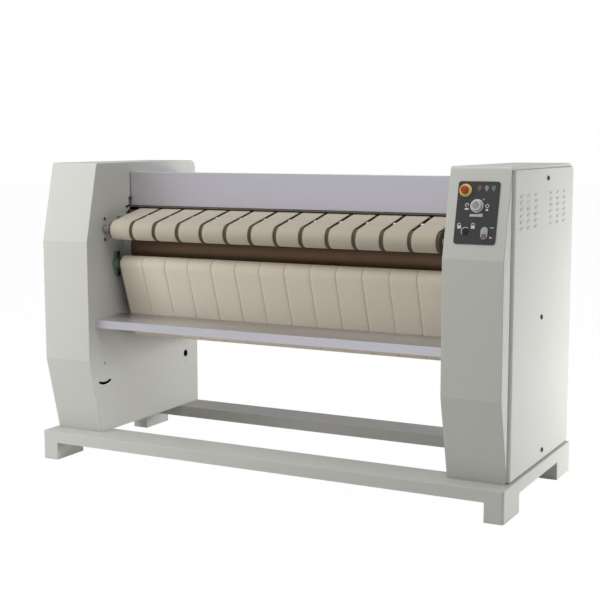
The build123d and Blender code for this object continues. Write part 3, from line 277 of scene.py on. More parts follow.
def around(radius, degrees, centre=(0.0, 0.0)):
    """Point at an angle round a centre."""
    turn = math.radians(degrees)
    return (centre[0] + radius * math.cos(turn), centre[1] + radius * math.sin(turn))


def put(bm, matrix, made):
    bmesh.ops.transform(bm, matrix=matrix, verts=made)


def turned(bm, profile, steps=48, matrix=Matrix()):
    """Surface of revolution about Z. Its profile is a list of (radius, height)."""
    rings = []
    made = []
    for radius, height in profile:
        points = [around(radius, 360 * i / steps) for i in range(steps if radius else 1)]
        ring = [bm.verts.new((x, y, height)) for x, y in points]
        rings.append(ring)
        made += ring
    for low, high in zip(rings, rings[1:]):
        for i in range(steps):
            j = (i + 1) % steps
            corners = [low[i % len(low)], low[j % len(low)]]
            corners += [high[j % len(high)], high[i % len(high)]]
            unique = list(dict.fromkeys(corners))
            if len(unique) > 2:
                bm.faces.new(unique)
    put(bm, matrix, made)
    return made


def slab(bm, points, low, high, matrix=Matrix()):
    """Flat outline (x, y) made solid between two heights."""
    bottom = [bm.verts.new((x, y, low)) for x, y in points]
    top = [bm.verts.new((x, y, high)) for x, y in points]
    bm.faces.new(bottom[::-1])
    bm.faces.new(top)
    count = len(points)
    for i in range(count):
        j = (i + 1) % count
        bm.faces.new((bottom[i], bottom[j], top[j], top[i]))
    put(bm, matrix, bottom + top)


def rounded(width, height, radius, centre=(0.0, 0.0), steps=6):
    """Outline of a rectangle with round corners."""
    points = []
    for sx, sy, start in ((1, 1, 0), (-1, 1, 90), (-1, -1, 180), (1, -1, 270)):
        corner = (centre[0] + sx * (width / 2 - radius), centre[1] + sy * (height / 2 - radius))
        points += [around(radius, start + 90 * i / steps, corner) for i in range(steps + 1)]
    return points


def arc_strip(radius, width, start, end, centre=(0.0, 0.0), steps=24):
    """Outline of a curved line, from one angle in degrees to another."""
    turns = [start + (end - start) * i / steps for i in range(steps + 1)]
    outer = [around(radius + width / 2, turn, centre) for turn in turns]
    inner = [around(radius - width / 2, turn, centre) for turn in turns]
    return outer + inner[::-1]


def bar(start, end, width):
    """Outline of a straight line between two points."""
    direction = Vector((end[0] - start[0], end[1] - start[1])).normalized() * (width / 2)
    dx, dy = direction.x, direction.y
    return [
        (start[0] - dy, start[1] + dx), (start[0] + dy, start[1] - dx),
        (end[0] + dy, end[1] - dx), (end[0] - dy, end[1] + dx),
    ]


# ---- finishes ----
class Finish:
    """A material made from nodes around one Principled shader."""

    def __init__(self, name, colour, roughness, metallic=0.0):
        self.material = bpy.data.materials.new(name)
        self.material.use_nodes = True
        self.tree = self.material.node_tree
        self.tree.nodes.clear()
        self.shader = self.add("ShaderNodeBsdfPrincipled")
        self.set("Base Color", (*colour, 1))
        self.set("Roughness", roughness)
        self.set("Metallic", metallic)
        output = self.add("ShaderNodeOutputMaterial")
        self.join(self.shader.outputs["BSDF"], output.inputs["Surface"])
        self.places = self.add("ShaderNodeTexCoord").outputs["Object"]
        self.colour = colour

    def add(self, kind, **values):
        node = self.tree.nodes.new(kind)
        for key, value in values.items():
            setattr(node, key, value)
        return node

    def join(self, source, target):
        self.tree.links.new(source, target)

    def set(self, socket, value):
        self.shader.inputs[socket].default_value = value

    def stretched(self, scale, source=None):
        """Coordinates scaled by (x, y, z)."""
        mapping = self.add("ShaderNodeMapping")
        mapping.inputs["Scale"].default_value = scale
        self.join(source or self.places, mapping.inputs["Vector"])
        return mapping.outputs["Vector"]

    def noise(self, scale, detail=3.0, places=None, roughness=0.5):
        node = self.add("ShaderNodeTexNoise")
        node.inputs["Scale"].default_value = scale
        node.inputs["Detail"].default_value = detail
        node.inputs["Roughness"].default_value = roughness
        self.join(places or self.places, node.inputs["Vector"])
        return node.outputs["Fac"]

    def ranged(self, source, low, high, from_low=0.0, from_high=1.0):
        """Values of source from one range, moved to another."""
        node = self.add("ShaderNodeMapRange")
        node.inputs["From Min"].default_value = from_low
        node.inputs["From Max"].default_value = from_high
        node.inputs["To Min"].default_value = low
        node.inputs["To Max"].default_value = high
        self.join(source, node.inputs["Value"])
        return node.outputs["Result"]

    def math(self, operation, first, second):
        node = self.add("ShaderNodeMath", operation=operation)
        for socket, value in zip(node.inputs, (first, second)):
            if isinstance(value, (int, float)):
                socket.default_value = value
            else:
                self.join(value, socket)
        return node.outputs["Value"]

    def shade(self, source, factor, colour, base=None):
        """Mixes a colour over the base where source is high, and returns the result."""
        node = self.add("ShaderNodeMix", data_type="RGBA")
        amount = self.math("MULTIPLY", source, factor)
        self.join(amount, node.inputs["Factor"])
        if base is None:
            node.inputs["A"].default_value = (*self.colour, 1)
        else:
            self.join(base, node.inputs["A"])
        node.inputs["B"].default_value = (*colour, 1)
        return node.outputs["Result"]

    def paint_with(self, result):
        self.join(result, self.shader.inputs["Base Color"])

    def rough_by(self, source, low, high):
        self.join(self.ranged(source, low, high), self.shader.inputs["Roughness"])

    def bump(self, source, strength, distance, before=None):
        node = self.add("ShaderNodeBump")
        node.inputs["Strength"].default_value = strength
        node.inputs["Distance"].default_value = distance
        self.join(source, node.inputs["Height"])
        if before is not None:
            self.join(before, node.inputs["Normal"])
        return node.outputs["Normal"]

    def bumped(self, result):
        self.join(result, self.shader.inputs["Normal"])

    def threads(self, places, direction, scale):
        node = self.add("ShaderNodeTexWave", bands_direction=direction)
        node.inputs["Scale"].default_value = scale
        node.inputs["Distortion"].default_value = 0.6
        self.join(places, node.inputs["Vector"])
        return node.outputs["Fac"]

    def creases(self, distance):
        """One in creases and corners, nought on open faces: the mask for painted shade."""
        node = self.add("ShaderNodeAmbientOcclusion", samples=6)
        node.inputs["Distance"].default_value = distance
        return self.math("SUBTRACT", 1.0, node.outputs["AO"])


def scaled(colour, share):
    return tuple(min(1.0, c * share) for c in colour)


def paint_finish(colour):
    """Satin powder coat: fine orange peel, faint cloudiness, and painted shade in the creases."""
    f = Finish("paint", colour, 0.42)
    cloud = f.noise(2.3, 4)
    tone = f.shade(cloud, 0.35, scaled(colour, 0.93))
    speck = f.ranged(f.noise(900, 2), 0, 1, 0.62, 0.75)
    tone = f.shade(speck, 0.12, scaled(colour, 0.8), tone)
    # Painted shade: the paint darkens in creases and corners, where the occlusion mask is high.
    tone = f.shade(f.creases(18 * MM), 0.35, scaled(colour, 0.55), tone)
    f.paint_with(tone)
    f.rough_by(f.noise(14, 5), 0.36, 0.5)
    peel = f.bump(f.noise(520, 2), 0.12, 0.4 * MM)
    f.bumped(f.bump(f.noise(3.5, 1), 0.15, 1.5 * MM, peel))
    return f.material


def brushed_finish(colour):
    """Brushed stainless: fine streaks along the sheet."""
    f = Finish("stainless", colour, 0.4, 1.0)
    streaks = f.noise(1.0, 6, f.stretched((6, 900, 900)), 0.65)
    tone = f.shade(streaks, 0.5, scaled(colour, 0.8))
    smudge = f.ranged(f.noise(7, 4), 0, 1, 0.45, 0.8)
    tone = f.shade(smudge, 0.2, scaled(colour, 0.86), tone)
    f.paint_with(tone)
    f.rough_by(streaks, 0.34, 0.52)
    f.bumped(f.bump(streaks, 0.06, 0.15 * MM))
    f.set("Anisotropic", 0.45)
    return f.material


def steel_finish(name, colour, roughness, scale=60.0):
    """Machined or plated steel with turned marks and a little staining."""
    f = Finish(name, colour, roughness, 1.0)
    stain = f.noise(scale, 5)
    f.paint_with(f.shade(stain, 0.5, scaled(colour, 0.62)))
    f.rough_by(stain, roughness - 0.08, roughness + 0.14)
    turned_marks = f.noise(1.0, 3, f.stretched((900, 25, 25)))
    f.bumped(f.bump(turned_marks, 0.08, 0.15 * MM))
    return f.material


def cylinder_finish(name, colour, roughness=0.4, metallic=0.55):
    """Satin steel, browned by heat and wax, with rings from use."""
    f = Finish(name, colour, roughness, metallic)
    rings = f.noise(1.0, 4, f.stretched((160, 3, 3)))
    cloud = f.noise(5, 4)
    tone = f.shade(rings, 0.4, scaled(colour, 0.72))
    tone = f.shade(cloud, 0.35, scaled(colour, 1.25), tone)
    f.paint_with(tone)
    f.rough_by(cloud, roughness - 0.06, roughness + 0.08)
    f.bumped(f.bump(rings, 0.05, 0.2 * MM))
    return f.material


def cast_finish(name, colour):
    """Painted sand casting, with painted shade in its creases."""
    f = Finish(name, colour, 0.5)
    lumps = f.noise(240, 4)
    tone = f.shade(lumps, 0.4, scaled(colour, 0.6))
    # Painted shade: the casting darkens strongly in creases and corners, where the occlusion mask is high.
    tone = f.shade(f.creases(6 * MM), 0.7, scaled(colour, 0.3), tone)
    f.paint_with(tone)
    f.rough_by(f.noise(80, 3), 0.4, 0.62)
    f.bumped(f.bump(lumps, 0.35, 0.8 * MM))
    return f.material


def plastic_finish(name, colour, roughness, grain=700.0, coat=0.0):
    """Moulded plastic with a fine grain."""
    f = Finish(name, colour, roughness)
    f.paint_with(f.shade(f.noise(45, 4), 0.25, scaled(colour, 0.78)))
    f.rough_by(f.noise(120, 3), roughness - 0.05, roughness + 0.08)
    f.bumped(f.bump(f.noise(grain, 2), 0.12, 0.15 * MM))
    f.set("Coat Weight", coat)
    return f.material


def printed_finish(name, colour):
    """Screen-printed ink."""
    f = Finish(name, colour, 0.45)
    f.paint_with(f.shade(f.noise(1500, 2), 0.2, scaled(colour, 0.8)))
    f.bumped(f.bump(f.noise(2000, 1), 0.1, 0.05 * MM))
    return f.material


# Brown of the belt edges: partly real scorching, partly painted shade that darkens the faces seen in the gaps
# between feed belts.
SCORCH_AND_SHADE_COLOUR = (0.15, 0.105, 0.065)
SCORCH_AND_SHADE_REACH = (1.5 * MM, 2.4 * MM)  # how far it is full, and how far it reaches
LAP_WIDTH = 1.4 * MM  # of the line at a sewn joint
STITCH_ROW = 9 * MM  # from the joint
STITCH_WIDTH, STITCH_PITCH, STITCH_SPACE = 1.6 * MM, 5 * MM, 1.2 * MM


def belt_finish(name, colour, edge_share):
    """Needled textile over a woven base, with edges browned by edge_share: real scorching, and at the feed belts'
    large share also painted shade in the gaps between belts.

    The first UV map holds metres across and along the belt. The second holds metres from the
    belt's edge and from its sewn joint.
    """
    f = Finish(name, colour, 0.85)
    uv = f.add("ShaderNodeUVMap", uv_map="metres").outputs["UV"]
    cloud = f.noise(9, 4, f.stretched((1, 0.4, 1), uv))
    fibres = f.noise(1.0, 3, f.stretched((1400, 300, 1), uv), 0.7)
    fluff = f.noise(620, 3, uv, 0.7)
    weave = f.math("MULTIPLY", f.threads(uv, "X", 260), f.threads(uv, "Y", 210))
    tone = f.shade(cloud, 0.45, scaled(colour, 0.88))
    tone = f.shade(f.ranged(fluff, 0, 1, 0.35, 0.75), 0.3, scaled(colour, 0.8), tone)
    tone = f.shade(weave, 0.12, scaled(colour, 1.12), tone)
    edge = f.add("ShaderNodeSeparateXYZ")
    f.join(f.add("ShaderNodeUVMap", uv_map="edge").outputs["UV"], edge.inputs["Vector"])
    # Painted shade in part: the edges darken the way the gaps between belts do in shade.
    scorch_and_shade = f.ranged(edge.outputs["X"], 1, 0, *SCORCH_AND_SHADE_REACH)
    tone = f.shade(scorch_and_shade, edge_share, SCORCH_AND_SHADE_COLOUR, tone)
    from_seam = f.math("ABSOLUTE", edge.outputs["Y"], 0)
    from_row = f.math("ABSOLUTE", f.math("SUBTRACT", from_seam, STITCH_ROW), 0)
    stitches = f.math("LESS_THAN", from_row, STITCH_WIDTH / 2)
    along_row = f.math("PINGPONG", edge.outputs["X"], STITCH_PITCH / 2)
    dashes = f.math("GREATER_THAN", along_row, STITCH_SPACE / 2)
    tone = f.shade(f.math("MULTIPLY", stitches, dashes), 0.6, scaled(colour, 0.45), tone)
    lap = f.math("LESS_THAN", from_seam, LAP_WIDTH / 2)
    tone = f.shade(lap, 0.5, scaled(colour, 0.5), tone)
    f.paint_with(tone)
    felt = f.bump(fluff, 0.35, 0.35 * MM)
    f.bumped(f.bump(f.math("ADD", weave, fibres), 0.25, 0.3 * MM, felt))
    f.set("Sheen Weight", 0.25)
    f.set("Sheen Roughness", 0.6)
    return f.material


FINISHES = {}
OTHER_FINISH = {
    "key_core": "key_black",
    "key_ring": "key_black",
    "halt_button": "halt_brown",
    "finger_guard": "guard_brown",
    "feed_front_roller": "worn_roller",
    "feed_rear_roller": "worn_roller",
}
STEELS = {  # colour, roughness, scale of the staining
    "steel": ((0.5, 0.5, 0.49), 0.35),
    "chain": ((0.32, 0.31, 0.29), 0.42, 300),
}
PLASTICS = {  # colour, roughness, grain, clear coat
    "black_steel": ((0.035, 0.034, 0.033), 0.45),
    "ring_grey": ((0.55, 0.55, 0.52), 0.5, 500),
    "yellow_plastic": ((0.90, 0.68, 0.16), 0.32, 700, 0.3),
    "red_plastic": ((0.44, 0.05, 0.015), 0.36, 700, 0.15),
    "green_plastic": ((0.42, 0.51, 0.42), 0.35, 700, 0.2),
    "white_plastic": ((0.52, 0.52, 0.51), 0.4, 700, 0.2),
    "black_plastic": ((0.03, 0.03, 0.03), 0.4),
    "dial_silver": ((0.66, 0.66, 0.69), 0.4, 900),
    "dial_grey": ((0.36, 0.36, 0.37), 0.45, 900),
    "key_black": ((0.008, 0.008, 0.008), 0.6),
    "light_grey": ((0.42, 0.43, 0.43), 0.45, 600),
    "collar_grey": ((0.36, 0.36, 0.34), 0.5, 500),
    "guard_brown": ((0.15, 0.135, 0.11), 0.5),
    "halt_brown": ((0.24, 0.135, 0.12), 0.38, 700, 0.2),
}
INKS = {
    "print_white": (0.72, 0.72, 0.70),
    "ink_brown": (0.17, 0.15, 0.13),
    "ink_grey": (0.33, 0.32, 0.31),
    "ink_green": (0.15, 0.26, 0.21),
}


def make_finishes(colours):
    """Every finish, by the record's slot name, and the few that only the dressing uses."""
    FINISHES.update({
        "paint": paint_finish(tuple(colours.paint)),
        "stainless": brushed_finish(tuple(colours.stainless)),
        "brown_steel": cylinder_finish("browned_steel", tuple(colours.cylinder)),
        "worn_roller": cylinder_finish("worn_roller", (0.095, 0.065, 0.042), 0.6, 0.1),
        "cast_teal": cast_finish("cast_teal", tuple(colours.bearing)),
        "motor_grey": cast_finish("motor_grey", (0.22, 0.24, 0.27)),
        "belt": belt_finish("ironing_belt", tuple(colours.ironing_belt), 0.06),
        "feed_belt": belt_finish("feed_belt", tuple(colours.feed_belt), 0.8),
        "control_dark": plastic_finish("control_dark", tuple(colours.plate), 0.38, 1500),
    })
    for name, values in STEELS.items():
        FINISHES[name] = steel_finish(name, *values)
    for name, values in PLASTICS.items():
        FINISHES[name] = plastic_finish(name, *values)
    for name, ink in INKS.items():
        FINISHES[name] = printed_finish(name, ink)


class IRONER_OT_finishes(bpy.types.Operator):
    """Give every node of the machine its finish"""

    bl_idname = "ironer.finishes"
    bl_label = "Finishes"

    def execute(self, context):
        make_finishes(context.scene.ironer_finish)
        for part in frame["record"]["subparts"]:
            node = nodes[part["node"]]
            finish = OTHER_FINISH.get(part["node"], part["material_slot"])
            node.data.materials.clear()
            node.data.materials.append(FINISHES[finish])
        return {"FINISHED"}


# ---- belts ----
FEED_SEAM, IRONING_SEAM = 0.85, 0.8  # where the sewn joints lie, as shares of the loop
SEAM_SPREAD = 0.04  # share of the loop by which they are scattered
SEAM_SLANT = 0.25
PHASE_STEP = 0.618  # from one belt to the next


def loop_path(circles, step=7.0, run=0.03):
    """Points and outward normals in Y and Z round a belt's loop, and the loop's length.

    Circles are (y, z, radius): the loop runs anticlockwise round a positive radius, and
    clockwise round a negative one.
    """
    count = len(circles)
    normals = []
    for i in range(count):
        start, end = circles[i], circles[(i + 1) % count]
        away = Vector((end[0] - start[0], end[1] - start[1]))
        cosine = (start[2] - end[2]) / away.length
        sine = math.sqrt(1 - cosine**2)
        away.normalize()
        normals.append(Vector((away.x * cosine + away.y * sine, away.y * cosine - away.x * sine)))
    path = []
    for i, (y, z, radius) in enumerate(circles):
        start = math.atan2(normals[i - 1].y, normals[i - 1].x)
        turn = math.atan2(normals[i].y, normals[i].x) - start
        turn = turn % (2 * math.pi) if radius > 0 else turn % (2 * math.pi) - 2 * math.pi
        pieces = max(1, math.ceil(abs(math.degrees(turn)) / step))
        for k in range(pieces + 1):
            angle = start + turn * k / pieces
            normal = Vector((math.cos(angle), math.sin(angle)))
            path.append((Vector((y, z)) + normal * radius, normal))
        follower = circles[(i + 1) % count]
        begin = path[-1][0]
        finish = Vector(follower[:2]) + normals[i] * follower[2]
        pieces = max(1, round((finish - begin).length / run))
        for k in range(1, pieces):
            path.append((begin.lerp(finish, k / pieces), normals[i]))
    places = [place for place, normal in path]
    length = sum((b - a).length for a, b in zip(places, places[1:] + places[:1]))
    return path, length


def belt_section(width, thickness, columns=6, corner=4):
    """Closed outline of a belt's section (across, out), with its rounded edges."""
    half, radius = width / 2 - thickness / 2, thickness / 2
    points = []
    for side in (1, -1):
        for i in range(corner + 1):
            turn = math.radians(-90 + 180 * i / corner)
            points.append((side * (half + radius * math.cos(turn)), side * radius * math.sin(turn)))
        for i in range(1, columns):
            points.append((side * half * (1 - 2 * i / columns), side * radius))
    return points


def belt_mesh(name, path, seam, centre, width, thickness, wander, phase, material):
    """One endless belt, which strays sideways a little as it runs. Its sewn joint is at seam."""
    section = belt_section(width, thickness)
    bm = bmesh.new()
    metres = bm.loops.layers.uv.new("metres")
    edge = bm.loops.layers.uv.new("edge")
    rings, along = [], [0.0]
    total = len(path)
    for i, (place, normal) in enumerate(path):
        stray = wander * math.sin(2 * math.pi * (2 * i / total + phase))
        ring = []
        for across, out in section:
            at = place + normal * out
            ring.append(bm.verts.new((centre + stray + across, at.x, at.y)))
        rings.append(ring)
        along.append(along[-1] + (path[(i + 1) % total][0] - place).length)
    count = len(section)
    for i in range(total):
        near, far = rings[i], rings[(i + 1) % total]
        for j in range(count):
            k = (j + 1) % count
            face = bm.faces.new((near[j], near[k], far[k], far[j]))
            corners = ((j, i), (k, i), (k, i + 1), (j, i + 1))
            for loop, (c, a) in zip(face.loops, corners):
                across = section[c][0]
                loop[metres].uv = (centre + across, along[a] + phase)
                loop[edge].uv = (width / 2 - abs(across), along[a] - seam - SEAM_SLANT * across)
    return finished_mesh(name, bm, material)


def make_belts(node, prefix, circles, gap, seam_share, wander, finish):
    """Every belt of one set, in the place of its node."""
    low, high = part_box(node)
    settings = bpy.context.scene.ironer_belts
    count = settings.count
    width = (high[0] - low[0] - (count - 1) * gap) / count
    path, length = loop_path(circles)
    for i in range(count):
        name = f"{prefix}_{i + 1:02d}"
        centre = low[0] + width / 2 + i * (width + gap)
        phase = (i * PHASE_STEP) % 1.0
        seam = length * (seam_share + SEAM_SPREAD * math.sin(9 * phase))
        mesh = belt_mesh(
            name, path, seam, centre, width, settings.thickness, wander, phase, FINISHES[finish],
        )
        belt = new_object(name, mesh, "root", [node])


def wrapped(node, settings, inward=False):
    """Circle that the middle of a belt follows round a roller."""
    y, z, radius = roller_circle(node)
    reach = radius + settings.clearance + settings.thickness / 2
    return (y, z, -reach if inward else reach)


class IRONER_OT_feed_belts(bpy.types.Operator):
    """Lay the feed belts round their two rollers"""

    bl_idname = "ironer.feed_belts"
    bl_label = "Feed belts"

    def execute(self, context):
        settings = context.scene.ironer_belts
        rollers = ["feed_front_roller", "feed_rear_roller"]
        circles = [wrapped(node, settings) for node in rollers]
        make_belts("feed_belts", "feed_belt", circles, settings.feed_gap, FEED_SEAM,
                   settings.feed_wander, "feed_belt")
        return {"FINISHED"}


class IRONER_OT_ironing_belts(bpy.types.Operator):
    """Lay the ironing belts round their rollers and round the back of the cylinder"""

    bl_idname = "ironer.ironing_belts"
    bl_label = "Ironing belts"

    def execute(self, context):
        settings = context.scene.ironer_belts
        rollers = ["delivery_roller", "lower_roller", "tension_roller", "return_roller"]
        circles = [wrapped("nose_roller", settings), wrapped("heated_cylinder", settings, True)]
        circles += [wrapped(node, settings) for node in rollers]
        make_belts("ironing_belts", "ironing_belt", circles, settings.ironing_gap, IRONING_SEAM,
                   settings.ironing_wander, "belt")
        return {"FINISHED"}


# ---- drive chains ----
PITCH = 12.7 * MM
DRIVE_TEETH = (50, 15)  # on the cylinder, on the motor
FEED_TEETH = (56, 14)  # on the cylinder, on the feed roller
HALF_CHAIN = 4.9 * MM  # half the width of a packed chain
LINK_END, LINK_WAIST = 4.9 * MM, 3.6 * MM  # half heights of a link plate
INNER_LINK_X, OUTER_LINK_X = (3.4 * MM, 4.6 * MM), (4.8 * MM, 6.0 * MM)
ROLLER, PIN = (3.9 * MM, 3.3 * MM), (1.9 * MM, 6.6 * MM)  # radius, half its length


def pitch_circle(place, teeth):
    """Y, Z and radius of the circle that a chain's pins follow."""
    return (*place, PITCH / (2 * math.sin(math.pi / teeth)))


def chain_pins(first, second):
    """Places of the pins round two sprockets, evenly spaced, in Y and Z."""
    path, length = loop_path([first, second], step=3.0, run=4 * MM)
    places = [place for place, normal in path]
    count = 2 * round(length / PITCH / 2)
    pitch = length / count
    pins, travelled, want = [], 0.0, 0.0
    for start, end in zip(places, places[1:] + places[:1]):
        span = (end - start).length
        while want < travelled + span and len(pins) < count:
            pins.append(start.lerp(end, (want - travelled) / span))
            want += pitch
        travelled += span
    return pins


def capsule(radius, length, waist, steps=6):
    """Outline of a link plate: two round ends with a waist between them."""
    points = []
    for centre, start, side in ((length, -90, 1), (0.0, 90, -1)):
        points += [around(radius, start + 180 * i / steps, (centre, 0)) for i in range(steps + 1)]
        points.append((length / 2, side * waist))
    return points


def chain_links(x_middle, pins):
    """Link plates in two rows, and the pins with their rollers."""
    bm = bmesh.new()
    for i, start in enumerate(pins):
        end = pins[(i + 1) % len(pins)]
        along = (end - start).normalized()
        low, high = OUTER_LINK_X if i % 2 else INNER_LINK_X
        link = capsule(LINK_END, (end - start).length, LINK_WAIST)
        for side in (-1, 1):
            place = Matrix((
                (0, 0, side, x_middle), (along.x, -along.y * side, 0, start.x),
                (along.y, along.x * side, 0, start.y), (0, 0, 0, 1),
            ))
            slab(bm, link, low, high, place)
        pin = Matrix(((0, 0, 1, x_middle), (1, 0, 0, start.x), (0, 1, 0, start.y), (0, 0, 0, 1)))
        for radius, reach in (ROLLER, PIN):
            turned(bm, [(0, -reach), (radius, -reach), (radius, reach), (0, reach)], 12, pin)
    return bm


class IRONER_OT_chains(bpy.types.Operator):
    """Link the roller chains round their sprockets"""

    bl_idname = "ironer.chains"
    bl_label = "Chains"

    def execute(self, context):
        low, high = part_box("drive_chains")
        cylinder = roller_circle("heated_cylinder")[:2]
        feed = roller_circle("feed_front_roller")[:2]
        motor = joint_named("motor_output_spin")["pos_m"][1:]
        runs = (
            ("drive_chain", high[0] - HALF_CHAIN, (cylinder, motor), DRIVE_TEETH),
            ("feed_chain", low[0] + HALF_CHAIN, (cylinder, feed), FEED_TEETH),
        )
        for name, x_middle, shafts, teeth in runs:
            circles = [pitch_circle(*sprocket) for sprocket in zip(shafts, teeth)]
            links = chain_links(x_middle, chain_pins(*circles))
            add_piece(name, links, "chain", "root", ["drive_chains"], 40)
        return {"FINISHED"}


# ---- small fittings ----
def pan_screw(bm, matrix, radius=4.5):
    """Pan head with a cross recess."""
    height = radius * 0.55
    profile = [(0, 0), (radius, 0), (radius, height * 0.35), (radius * 0.85, height * 0.8),
               (radius * 0.5, height), (0, height)]
    turned(bm, profile, 20, matrix)
    for turn in (45, 135):
        cross = matrix @ Matrix.Rotation(math.radians(turn), 4, "Z")
        line = bar((-radius * 0.55, 0), (radius * 0.55, 0), radius * 0.16)
        slab(bm, line, height * 0.99, height * 1.03, cross)


def grease_nipple(bm, matrix):
    slab(bm, [around(4, 60 * i) for i in range(6)], 0, 4, matrix)
    profile = [(0, 4), (2.2, 4), (1.6, 6), (1.6, 7), (2.6, 8), (2.4, 9.6), (1.2, 10.6), (0, 10.8)]
    turned(bm, profile, 16, matrix)


def set_screw(bm, matrix):
    profile = [(0, 0), (2.4, 0), (2.4, 1.2), (1.3, 1.2), (1.2, 0.4), (0, 0.4)]
    turned(bm, profile, 12, matrix)


class IRONER_OT_fittings(bpy.types.Operator):
    """Fit grease nipples and set screws to the bearings, and screws to the sheets"""

    bl_idname = "ironer.fittings"
    bl_label = "Fittings"

    def execute(self, context):
        self.bearings()
        self.rear_screws()
        self.shaft_sleeves()
        self.guard_stops()
        return {"FINISHED"}

    def bearings(self):
        """On each bearing a grease nipple, and two set screws in its ring."""
        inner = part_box("receiving_shelf")[1][0] + SHEET
        outside = ("delivery_roller", "lower_roller")
        inside = ("feed_front_roller", "feed_rear_roller", "nose_roller", "tension_roller",
                  "return_roller")
        bm = bmesh.new()
        for side in (-1, 1):
            for node in outside + inside:
                y, z = roller_circle(node)[:2]
                housing, ring = (-7, -27.5) if node in outside else (9, 29.5)
                nipple_turn = 205 if node == "lower_roller" else 35
                for fitting, out, reach, degrees in (
                    (grease_nipple, housing, 24.5, nipple_turn),
                    (set_screw, ring, 14.6, 100), (set_screw, ring, 14.6, 220),
                ):
                    away = Vector((0, *around(1, degrees)))
                    place = Vector((side * (inner + out * MM), y, z)) + away * reach * MM
                    fitting(bm, facing(place, away, (side, 0, 0)))
        add_piece("bearing_fittings", bm, "steel", "root", crease=35)

    def rear_screws(self):
        low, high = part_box("rear_cover")
        edge, count = 12 * MM, 9
        left, right = low[0] + edge, high[0] - edge
        spots = [(left + (right - left) * i / (count - 1), z)
                 for i in range(count) for z in (low[2] + edge, high[2] - edge)]
        levels = [low[2] + (high[2] - low[2]) * i / 4 for i in (1, 2, 3)]
        spots += [(x, z) for z in levels for x in (left, right)]
        bm = bmesh.new()
        for x, z in spots:
            pan_screw(bm, facing((x, high[1], z), (0, 1, 0)))
        add_piece("rear_screws", bm, "steel", "root", crease=35)

    def shaft_sleeves(self):
        """Grey collars in the wall holes of the front feed roller, and caps on the support bar."""
        shaft, collar, wall = 10.3, 16.8, WALL_X / MM
        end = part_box("heated_cylinder")[1][0] / MM + 4
        collars = [(shaft, end), (shaft + 1.7, end), (shaft + 1.7, wall - 3),
                   (collar - 1, wall - 3), (collar, wall - 2), (collar, wall + 1),
                   (shaft, wall + 1), (shaft, end)]
        fit = roller_circle("feed_support_bar")[2] / MM
        cap, foot = fit + 1.2, wall - 50
        caps = [(fit, foot), (cap - 0.5, foot), (cap, foot + 0.5), (cap, wall), (fit, wall),
                (fit, foot)]
        for name, rings, node, body in (
            ("shaft_collars", collars, "feed_front_roller", "feed_front"),
            ("bar_caps", caps, "feed_support_bar", "root"),
        ):
            bm = bmesh.new()
            y, z = roller_circle(node)[:2]
            for side in (-1, 1):
                turned(bm, rings, 40, facing((0, y, z), (side, 0, 0)))
            bmesh.ops.remove_doubles(bm, verts=bm.verts, dist=1e-6)
            add_piece(name, bm, "collar_grey", body, crease=35)

    def guard_stops(self):
        """On each wall a black strap under the end of the finger guard, and a black plate of painted shade behind
        the end of the rear feed roller.
        """
        # The plate is painted shade: a black sheet where the end of the rear feed roller lies in shadow.
        # Y and Z on the wall, in millimetres
        plate = [(-140, 1076), (-92, 1072), (-44, 1086), (-30, 1102), (-52, 1108), (-84, 1109)]
        strap = [(-141, 1107), (-95, 1119), (-89, 1112), (-138, 1099)]
        bm = bmesh.new()
        for side in (-1, 1):
            wall = Matrix(((0, 0, -side, 0), (1, 0, 0, 0), (0, 1, 0, 0), (0, 0, 0, 1)))
            onto_wall = Matrix.Translation((side * WALL_X, 0, 0)) @ wall @ Matrix.Scale(MM, 4)
            slab(bm, plate, 0, 1.5, onto_wall)
            slab(bm, strap, 0, 2.5, onto_wall)
        add_piece("guard_stops", bm, "black_steel", "root")


# ---- louvres ----
def louvre(bm, matrix, length, height, rise, columns=14, rows=5):
    """Pressed hood, open along its lower edge: X along, Y up the sheet, Z out of it."""
    thickness = 0.9
    layers = []
    for lift in (0.0, -thickness):
        grid = []
        for i in range(columns + 1):
            across = 2 * i / columns - 1
            swell = max(0.0, 1 - abs(across) ** 5) ** 0.5
            column = []
            for j in range(rows + 1):
                down = j / rows
                out = rise * swell * math.sin(down * math.pi / 2) ** 0.9 + lift
                column.append(bm.verts.new((across * length / 2, height * (0.5 - down), out)))
            grid.append(column)
        layers.append(grid)
    outer, inner = layers
    for i in range(columns):
        for j in range(rows):
            bm.faces.new((outer[i][j], outer[i + 1][j], outer[i + 1][j + 1], outer[i][j + 1]))
            bm.faces.new((inner[i][j], inner[i][j + 1], inner[i + 1][j + 1], inner[i + 1][j]))
        bm.faces.new((outer[i][rows], outer[i + 1][rows], inner[i + 1][rows], inner[i][rows]))
        bm.faces.new((outer[i][0], inner[i][0], inner[i + 1][0], outer[i + 1][0]))
    for i in (0, columns):
        for j in range(rows):
            bm.faces.new((outer[i][j], outer[i][j + 1], inner[i][j + 1], inner[i][j]))
    made = [v for grid in layers for column in grid for v in column]
    put(bm, matrix, made)


VENT_COLUMNS = [-251 * MM, -166 * MM, -75 * MM, 120 * MM, 214 * MM, 306 * MM]
VENT_DROP = 94.7 * MM  # from a side cover's top edge to the middle of its top row
REAR_COLUMNS, REAR_ROWS = 7, 8
REAR_PITCH = (200 * MM, 22 * MM)
REAR_DROP = 127 * MM
LOUVRE_HEIGHT = 11  # millimetres
REAR_LOUVRE = (156, LOUVRE_HEIGHT, 4)  # length, height and rise, millimetres


